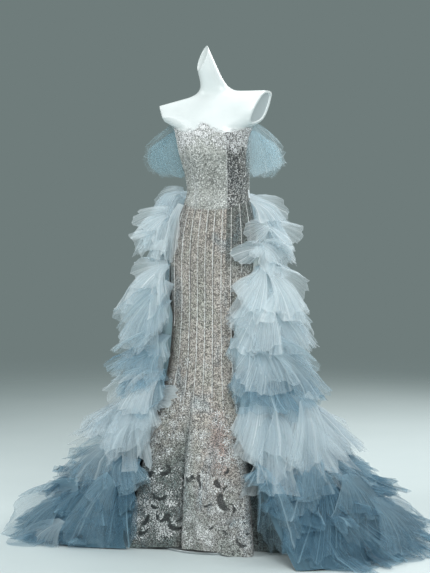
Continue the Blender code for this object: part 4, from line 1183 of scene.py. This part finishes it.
def makeTier(number, tier):
    top, length, reach, waves, depth, jag, rightEdge, leftEdge, rightFan, leftFan, turn, cloth = tier
    resting = number == len(tiers)
    rise = np.array(ruffleLook["restingRise" if resting else "rise"])
    tuck, raised = (ruffleLook[k].get(number, (0.0, 0.0)) for k in ("tuck", "sideLift"))
    (rightTuck, leftTuck), (rightHip, leftHip) = ruffleLook["tuckedAt"], ruffleLook["raisedAt"]
    flat, hip, hipWide = ruffleLook["flatHip"]
    share = np.linspace(0, 1, ruffleLook["rows"])[:, None]
    offset = smooth(rise[:, 0], rise[:, 1], share)
    for layer, (out, longer, seed) in enumerate(ruffleLook["layers"]):
        folds = waves * ruffleLook["foldsPerWave"] * (ruffleLook["lowerFolds"] if layer == 2 else 1)
        around, fold, tips, crease = foldColumns(int(folds), number + seed, ruffleLook["uneven"])
        wander = [drift(around, waves * swings, 100 * number + 10 * layer + k)
                  for k, swings in enumerate(ruffleLook["wanders"])]
        phase = 2 * math.pi * waves * around + turn + layer * 1.9
        slow = 0.8 + 0.2 * np.sin(3 * math.pi * around + turn)
        atSeam = pinched(around, int(waves * ruffleLook["pinches"]), 3 * number + seed, ruffleLook["pinch"])
        along = atSeam + (around - atSeam) * share ** 0.8
        seamBack = ruffleLook["cutBack"].get(number, ruffleLook["seamBack"])
        start = leftEdge + seamBack * (1 - share) ** 1.5 - leftFan * share
        end = 360.0 + rightEdge + rightFan * share
        angles = start + (end - start) * along
        nearEnd = np.minimum(angles[:1] - angles[0, 0], angles[0, -1] - angles[:1])
        flatter = 0.45 + 0.55 * smoothstep(0, 24, nearEnd)
        rightCorner = ruffleLook["shortCorner"].get(number, ruffleLook["corner"])
        short = np.where(around > 0.5, rightCorner, ruffleLook["corner"])
        corner = 1 - short * (1 - smoothstep(0, 16, nearEnd))
        sway = ruffleLook["sway"] * wander[1] + ruffleLook["swing"] * np.sin(2 * phase)
        angles = angles + np.degrees(sway * share ** 1.3 / girthAt(top)) * smoothstep(0, 8, nearEnd)
        drops = top + length * longer * corner * share * (
            1 + jag * share * np.cos(phase) * slow + ruffleLook["hemWander"] * share * wander[2]
            + ruffleLook["tips"] * share ** 2 * (tips + fold))
        pitch = 1 + depth * np.sqrt(share) * np.cos(phase) * slow + ruffleLook["pitch"] * share * wander[0]
        held = 1 - tuck[0] * near(angles, *rightTuck) - tuck[1] * near(angles, *leftTuck)
        off = reach * out * offset * pitch * flatter * held + 0.0024
        crisp = ruffleLook["fold"] * (0.75 + 0.55 * wander[3]) * smoothstep(0, 0.6, share)
        off = off + crisp * fold * flatter * (0.5 if resting else 1)
        points = trainPoint(drops, angles, np.maximum(off, 0.0012 + 0.003 * share))
        lift = ruffleLook["lift"].get(number, 0.0) * np.sin(math.pi * share ** 0.6) * (1 - 0.3 * layer)
        points[..., 2] += lift * (1 - flat * near(angles, hip, hipWide))
        points[..., 2] += share * (raised[0] * near(angles, *rightHip) + raised[1] * near(angles, *leftHip))
        push = ripple(points, 0.06, number + seed) * ruffleLook["crumple"] * smoothstep(0.1, 0.7, share)
        if number >= ruffleLook["bigFrom"]:
            big = ripple(points, 0.13, number + seed + 7) * ruffleLook["bigCrumple"]
            push = push + big * smoothstep(0.1, 0.6, share)
        points = points + gridNormals(points) * push[..., None]
        points[..., 2] = np.maximum(points[..., 2], fit["floorGap"] + 0.0006 * layer)
        piece = strip(f"ruffle{number:02d}{'abc'[layer]}", points, np.broadcast_to(share, points.shape[:2]), crease,
                      tulle[cloth])
        if layer == 0:
            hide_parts(f"ruffle_{number:02d}")
            tierPoints.append(points[:, ::2].reshape(-1, 3))


for number, tier in enumerate(tiers, start=1):
    makeTier(number, tier)
print("ruffle tiers made")

# Stiff fans of tulle that stand out of the tiers
viewLook = {"turn": 18.0, "down": 4.39, "away": 5.0, "height": 1.2, "lens": 99.64, "sensor": 36.0,
            "picture": (430, 573)}  # degrees, metres, millimetres of the lens, pixels
fanLook = {"rows": 12, "fold": 0.0050, "bow": 0.10, "crumple": 0.007, "lifted": 0.018, "tucked": 0.025,
           "overSkirt": 0.022, "uneven": 0.5, "tips": 0.03}
fans = [  # tulle, folds, width at the seam, then the seam and the points of the hem as pixels across and down
    ("pale", 9, 0.03, (184, 191), [(165, 186), (160, 193), (155, 202), (158, 209), (170, 214)]),
    ("ice", 12, 0.03, (175, 211), [(155, 208), (140, 209), (133, 217), (131, 224), (150, 231), (163, 230)]),
    ("ice", 12, 0.03, (170, 232), [(150, 230), (129, 233), (133, 242), (139, 252), (152, 249), (164, 252)]),
    ("ice", 14, 0.04, (168, 263),
     [(152, 257), (139, 258), (132, 266), (131, 273), (136, 281), (130, 287), (142, 289), (160, 284)]),
    ("mist", 9, 0.03, (163, 282), [(130, 297), (110, 314), (118, 321), (139, 309), (153, 300)]),
    ("mist", 14, 0.04, (161, 289), [(133, 315), (117, 327), (122, 338), (131, 346), (144, 351), (157, 357)]),
    ("mist", 10, 0.03, (157, 328), [(127, 341), (111, 350), (118, 354), (127, 359), (137, 351)]),
    ("mid", 12, 0.04, (158, 348), [(125, 352), (103, 362), (107, 372), (117, 369), (135, 375), (158, 371)]),
    ("ice", 14, 0.06, (152, 374), [(118, 376), (105, 388), (107, 402), (124, 414), (148, 412)]),
    ("ice", 12, 0.05, (150, 370), [(134, 378), (116, 384), (112, 398), (119, 409), (138, 411)]),
    ("ice", 10, 0.05, (156, 372), [(126, 388), (118, 404), (132, 413), (146, 412), (158, 400)]),
    ("crisp", 10, 0.024, (146, 397), [(162, 386), (176, 385), (177, 396), (172, 404), (160, 412), (152, 405)]),
    ("crisp", 8, 0.03, (143, 404), [(134, 436), (140, 458), (150, 473), (150, 444), (150, 412)]),
    ("pale", 14, 0.06, (136, 408), [(110, 412), (94, 424), (84, 445), (94, 458), (108, 452), (122, 446)]),
    ("mist", 12, 0.05, (120, 436), [(90, 440), (72, 452), (60, 474), (76, 480), (96, 482), (110, 470)]),
    ("mid", 12, 0.05, (78, 486), [(45, 491), (14, 497), (3, 515), (1, 536), (20, 541), (48, 536)]),
    ("mid", 10, 0.05, (112, 478), [(84, 500), (62, 526), (70, 546), (96, 548), (116, 540)]),
    ("deep", 9, 0.04, (128, 474), [(112, 510), (104, 545), (122, 549), (136, 540), (138, 505)]),
    ("mist", 9, 0.03, (62, 520), [(22, 530), (4, 545), (30, 550), (58, 551)]),
    ("ice", 10, 0.03, (250, 199),
     [(262, 197), (274, 197), (282, 199), (287, 210), (288, 220), (268, 222), (254, 221)]),
    ("ice", 13, 0.03, (259, 222),
     [(287, 221), (294, 227), (302, 226), (301, 236), (298, 242), (284, 244), (268, 242)]),
    ("ice", 12, 0.03, (262, 242), [(284, 243), (293, 249), (290, 258), (283, 257), (278, 264), (266, 262)]),
    ("ice", 20, 0.03, (266, 266),
     [(282, 269), (297, 274), (310, 281), (306, 288), (302, 300), (302, 312), (288, 316), (274, 312)]),
    ("ice", 14, 0.024, (264, 267), [(248, 280), (238, 295), (226, 314), (240, 318), (252, 311), (266, 308)]),
    ("crisp", 9, 0.02, (264, 247), [(248, 241), (231, 250), (232, 257), (239, 264), (252, 264)]),
    ("pale", 14, 0.05, (268, 296), [(298, 312), (313, 322), (306, 331), (317, 341), (310, 352), (288, 356)]),
    ("ice", 16, 0.06, (262, 300), [(238, 320), (230, 346), (246, 352), (266, 350), (282, 342)]),
    ("pale", 14, 0.07, (262, 345), [(240, 352), (235, 374), (250, 390), (270, 396), (288, 392)]),
    ("mist", 14, 0.07, (276, 345), [(304, 354), (320, 364), (314, 377), (330, 390), (316, 400), (294, 396)]),
    ("ice", 14, 0.08, (262, 394), [(246, 432), (231, 450), (242, 462), (254, 468), (268, 456), (280, 446)]),
    ("ice", 14, 0.08, (290, 394), [(262, 450), (240, 495), (256, 496), (276, 478), (302, 462)]),
    ("pale", 12, 0.07, (304, 396), [(318, 420), (328, 440), (322, 462), (306, 470), (286, 462)]),
    # this mid-blue fan is net of the gown, and also stands in for shade on the side of the skirt that turns away
    # behind the train
    ("mid", 10, 0.06, (262, 466), [(256, 500), (258, 534), (270, 550), (290, 552), (302, 530)]),
    ("mid", 14, 0.08, (304, 452), [(266, 500), (262, 524), (290, 522), (316, 508), (326, 484)]),
    ("deep", 12, 0.06, (324, 486), [(284, 542), (296, 560), (320, 562), (340, 548), (352, 522)]),
    ("mid", 12, 0.06, (346, 474), [(332, 520), (348, 540), (370, 542), (388, 526), (390, 500)]),
    ("mid", 12, 0.06, (372, 498), [(380, 545), (402, 558), (422, 550), (432, 530), (420, 512)]),
    ("ice", 10, 0.03, (268, 224), [(252, 219), (245, 224), (244, 233), (249, 241), (262, 243)]),
    ("ice", 9, 0.03, (181, 204), [(168, 232), (163, 246), (165, 257), (171, 263), (175, 250), (178, 236)]),
    ("pale", 8, 0.03, (170, 282), [(159, 306), (157, 320), (162, 331), (167, 328), (171, 312)]),
]
roundLook = {"folds": 13, "seam": 0.024, "seamOut": 0.035, "halfWide": 0.10, "out": 0.095}
roundFans = [  # tulle, how far down the fall it is gathered, length, degrees from the front, degrees it leans
    ("ice", 0.075, 0.15, 128, 16), ("ice", 0.150, 0.17, 165, -14), ("ice", 0.135, 0.16, 222, 12),
    ("ice", 0.235, 0.20, 140, -18), ("ice", 0.240, 0.20, 196, 15), ("pale", 0.340, 0.19, 160, -12),
    ("pale", 0.345, 0.19, 236, 17), ("pale", 0.445, 0.18, 122, 14), ("mist", 0.450, 0.18, 205, -16),
    ("mid", 0.555, 0.17, 150, 12), ("pale", 0.670, 0.28, 176, -10), ("pale", 0.670, 0.27, 232, 13),
    ("pale", 0.665, 0.26, 118, -9), ("mid", 0.900, 0.24, 142, 12), ("mid", 0.900, 0.24, 214, -12),
    ("deep", 1.020, 0.26, 178, 9), ("deep", 1.020, 0.24, 246, -9),
]


def viewAxes():
    # the eye, the picture's right, up and ahead, and how much one pixel is at one metre
    turn, tilt = math.radians(viewLook["turn"]), math.radians(viewLook["down"])
    right = np.array((math.cos(turn), math.sin(turn), 0))
    level = np.array((-math.sin(turn), math.cos(turn), 0))
    ahead = level * math.cos(tilt) - np.array((0, 0, math.sin(tilt)))
    upward = level * math.sin(tilt) + np.array((0, 0, math.cos(tilt)))
    eye = -level * viewLook["away"] + np.array((0, 0, viewLook["height"]))
    return eye, right, upward, ahead, viewLook["sensor"] / viewLook["lens"] / viewLook["picture"][1]


def seenFrom(points):
    # the pixels of points, and their distance from the eye
    eye, right, upward, ahead, scale = viewAxes()
    middle, centre = (side / 2 for side in viewLook["picture"])
    far = (points - eye) @ ahead
    return (points - eye) @ right / far / scale + middle, centre - (points - eye) @ upward / far / scale, far


def outerSurface():
    # the ruffle tiers' outer layers and the skirt
    heights = np.linspace(0.02, 1.09, 120)[:, None]
    turns = np.arange(-90, 92, 1.5)[None, :]
    skirt = placed(skirtRadius(heights, turns) + fanLook["overSkirt"], heights, turns)
    return seenFrom(np.concatenate(tierPoints + [skirt.reshape(-1, 3)]))


def pixelPoints(pixels, surface, inward=0.0):
    # where the sight line through each pixel meets the gown, or passes it nearest
    eye, right, upward, ahead, scale = viewAxes()
    middle, centre = (side / 2 for side in viewLook["picture"])
    places = []
    for across, down in pixels:
        apart = np.hypot(surface[0] - across, surface[1] - down)
        close = apart < max(4.0, apart.min() + 1.0)
        far = surface[2][close].min() + inward
        places.append(eye + far * (ahead + right * (across - middle) * scale + upward * (centre - down) * scale))
    return np.array(places)


def makeFan(name, cloth, folds, wide, point, corners, seed):
    around, fold, tips, crease = foldColumns(folds, seed, fanLook["uneven"], 3)
    walk = np.concatenate([[0], np.cumsum(np.linalg.norm(np.diff(corners, axis=0), axis=1))])
    hemLine = np.stack([np.interp(around * walk[-1], walk, corners[:, k]) for k in range(3)], -1)
    chord = corners[-1] - corners[0]
    long = np.linalg.norm(hemLine - point, axis=1).mean()
    normal = np.cross(corners[0] - point, corners[-1] - point)
    normal /= np.linalg.norm(normal)
    seam = point + chord / np.linalg.norm(chord) * (around[:, None] - 0.5) * wide
    share = np.linspace(0, 1, fanLook["rows"])[:, None, None]
    points = seam + (hemLine - seam) * share * (1 + fanLook["tips"] * share * (tips + fold)[:, None])
    out = points.mean((0, 1)) * (1, 1, 0)
    arch = fanLook["bow"] * long * np.sin(math.pi * share)
    points = points + arch * (np.array((0, 0, 0.5)) + 0.5 * out / np.linalg.norm(out))
    points = points + normal * (fanLook["fold"] * share ** 0.7 * fold[:, None])
    points = points + normal * (fanLook["crumple"] * share[..., 0] * ripple(points, 0.05, seed))[..., None]
    points[..., 2] = np.maximum(points[..., 2], fit["floorGap"])
    piece = strip(name, points, np.broadcast_to(share[..., 0], points.shape[:2]), crease, tulle[cloth])


def makeFans():
    surface = outerSurface()
    for number, (cloth, folds, wide, point, hem) in enumerate(fans, start=1):
        seam = pixelPoints([point], surface, inward=fanLook["tucked"])[0]
        corners = pixelPoints(hem, surface, inward=-fanLook["lifted"])
        makeFan(f"fan{number:02d}", cloth, folds, wide, seam, corners, 700 + number)
    spread = np.linspace(-1, 1, 5)
    for number, (cloth, drop, long, angle, lean) in enumerate(roundFans, start=1):
        turns = angle + np.degrees(roundLook["halfWide"] * spread / girthAt(drop)) + lean * (0.4 + 0.2 * spread)
        corners = trainPoint(drop + long * (1 - 0.25 * spread ** 2), turns,
                             roundLook["out"] + 0.02 * np.cos(2.2 * spread + number))
        makeFan(f"roundFan{number:02d}", cloth, roundLook["folds"], roundLook["seam"],
                trainPoint(drop, angle, roundLook["seamOut"]), corners, 800 + number)


makeFans()
print("fans made")

# The off-arm puff sleeves
sleeveLook = {
    "rows": 30, "columns": 92, "top": 1.307, "bottom": 1.160, "layers": ((1.0, 5), (0.78, 8)),  # fullness, seed
    "gathers": 0.10, "crumple": 0.009, "crumpleSize": 0.040, "fanSeam": 0.024, "fanTucked": 0.02,
    "sides": {"left": (106.0, 0.88, "sleeve", "sleeveFan"),  # angle of the middle, fullness, tulle, tulle of its fans
              "right": (-95.0, 1.02, "sleeveShade", "sleeveShade")},
}
sleeveRows = np.array([  # height, how far it stands out, half its width in degrees
    (1.307, 0.010, 11), (1.286, 0.050, 19), (1.250, 0.096, 25), (1.206, 0.110, 27), (1.174, 0.098, 27),
    (1.160, 0.084, 27),
])
sleeveFans = {  # folds, the gathered point, then the points of the hem, as pixels of the picture
    "left": ((15, (252, 126), [(270, 137), (284, 147), (281, 152), (286, 163), (272, 171), (256, 177), (250, 168)]),
             (11, (252, 174), [(258, 152), (274, 145), (284, 153), (285, 163), (270, 172)])),
    "right": ((15, (178, 126), [(169, 129), (158, 139), (146, 146), (144, 160), (150, 172), (168, 175), (183, 178)]),
              (11, (184, 176), [(176, 152), (161, 143), (147, 148), (145, 160), (154, 173)])),
}


def sleevePoints(side, share, around, out):
    middle, fullness = sleeveLook["sides"][side][:2]
    height = sleeveLook["top"] + (sleeveLook["bottom"] - sleeveLook["top"]) * share
    levels, reaches, halves = sleeveRows[::-1].T
    reach = smooth(levels, reaches, height) * fullness * out
    angles = middle + smooth(levels, halves, height) * around
    bow = np.clip(1 - around ** 2, 0, 1) ** 0.6
    gathers = 1 + sleeveLook["gathers"] * (1 - around ** 2) * np.cos(9 * math.pi * around)
    start = bodiceRadius(height + 0 * angles, angles) + 0.0011
    return placed(start + reach * bow * gathers, height + 0 * angles, angles)


def makeSleeve(side):
    share = np.linspace(0, 1, sleeveLook["rows"])[:, None]
    around = np.linspace(-1, 1, sleeveLook["columns"])
    name, cloth, fanCloth = f"sleeve{side.capitalize()}", *sleeveLook["sides"][side][2:]
    for layer, (out, seed) in enumerate(sleeveLook["layers"]):
        points = sleevePoints(side, share, around, out)
        swell = (1 - around ** 2) * smoothstep(0, 0.2, share)
        folds = ripple(points * (1, 1, 0.45), sleeveLook["crumpleSize"], seed)
        points = points + gridNormals(points) * (folds * sleeveLook["crumple"] * swell)[..., None]
        # the crumples' peaks take the folds' colour, a painted highlight
        crease = np.clip(folds * 1.6 - 0.4, 0, 1)
        piece = strip(f"{name}{'ab'[layer]}", points, np.broadcast_to(share, points.shape[:2]),
                      0 * around, tulle[cloth])
        piece.data.attributes["crease"].data.foreach_set("value", crease.astype(np.float32).ravel())
        if layer == 0:
            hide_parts(f"sleeve_{side}")
    surface = seenFrom(sleevePoints(side, share, around, 1.0).reshape(-1, 3))
    for number, (folds, point, hem) in enumerate(sleeveFans[side], start=1):
        seam = pixelPoints([point], surface, inward=sleeveLook["fanTucked"])[0]
        makeFan(f"{name}Fan{number}", fanCloth, folds, sleeveLook["fanSeam"], seam, pixelPoints(hem, surface),
                900 + number)


makeSleeve("left")
makeSleeve("right")
print("sleeves made")

# Floor, light and camera
stageLook = {"floor": "#d0dbdc", "floorDark": "#c9d5d6", "backdrop": "#6f7c7b", "floorRadius": 5.4, "fadeFrom": 1.6}
lights = {  # place, what it points at, size, watts
    "keyLight": ((2.2, -3.4, 2.8), (0, 0, 0.8), (2.2, 2.2), 142),
    "fillLight": ((-3.0, -2.4, 2.2), (0, 0, 0.9), (2.0, 2.2), 72),
    "topLight": ((0.3, 0.6, 3.4), (0, 0, 0.6), (2.6, 2.0), 60),
    "backLight": ((0.8, 3.2, 2.2), (0, 0, 0.9), (2.0, 2.0), 45),
}


def makeStage():
    floor = newMaterial("paleFloor", 0.7)
    where = coordinates(floor)
    finish(floor, colourRamp(floor, noise(floor, where, 2.0, 3.0),
                             [(0.2, stageLook["floorDark"]), (0.8, stageLook["floor"])]))
    fromMiddle = addNode(floor, "ShaderNodeVectorMath", {0: where}, operation="LENGTH").outputs["Value"]
    fade = addNode(floor, "ShaderNodeMapRange", {
        "From Min": stageLook["fadeFrom"], "From Max": stageLook["floorRadius"], "To Min": 1.0, "To Max": 0.0,
        "Value": fromMiddle}, interpolation_type="SMOOTHSTEP")
    feed(floor, shaderOf(floor), {"Alpha": fade.outputs[0]})
    builder = bmesh.new()
    bmesh.ops.create_circle(builder, cap_ends=True, segments=96, radius=stageLook["floorRadius"])
    mesh = bpy.data.meshes.new("studioFloor")
    builder.to_mesh(mesh)
    builder.free()
    mesh.materials.append(floor)
    ground = bpy.data.objects.new("studioFloor", mesh)
    scene.collection.objects.link(ground)


def addLight(name, place, target, size, power):
    lamp = bpy.data.lights.new(name, "AREA")
    lamp.shape, lamp.size, lamp.size_y, lamp.energy = "RECTANGLE", *size, power
    holder = bpy.data.objects.new(name, lamp)
    holder.location = place
    way = np.array(target) - np.array(place)
    holder.rotation_euler = Vector(way).to_track_quat("-Z", "Y").to_euler()
    scene.collection.objects.link(holder)


def makeLightAndCamera():
    world = bpy.data.worlds.new("studioWorld")
    world.use_nodes = True
    background = world.node_tree.nodes["Background"]
    background.inputs["Color"].default_value = linear(stageLook["backdrop"])
    background.inputs["Strength"].default_value = 1.0
    scene.world = world
    for name, facts in lights.items():
        addLight(name, *facts)
    lens = bpy.data.cameras.new("photoCamera")
    lens.lens, lens.sensor_width = viewLook["lens"], viewLook["sensor"]
    camera = bpy.data.objects.new("photoCamera", lens)
    turn = math.radians(viewLook["turn"])
    camera.location = (viewLook["away"] * math.sin(turn), -viewLook["away"] * math.cos(turn), viewLook["height"])
    camera.rotation_euler = (math.radians(90 - viewLook["down"]), 0, turn)
    scene.collection.objects.link(camera)
    scene.camera = camera
    scene.view_settings.view_transform = "Standard"
    scene.cycles.transparent_max_bounces = 24


makeStage()
makeLightAndCamera()
print("stage made")
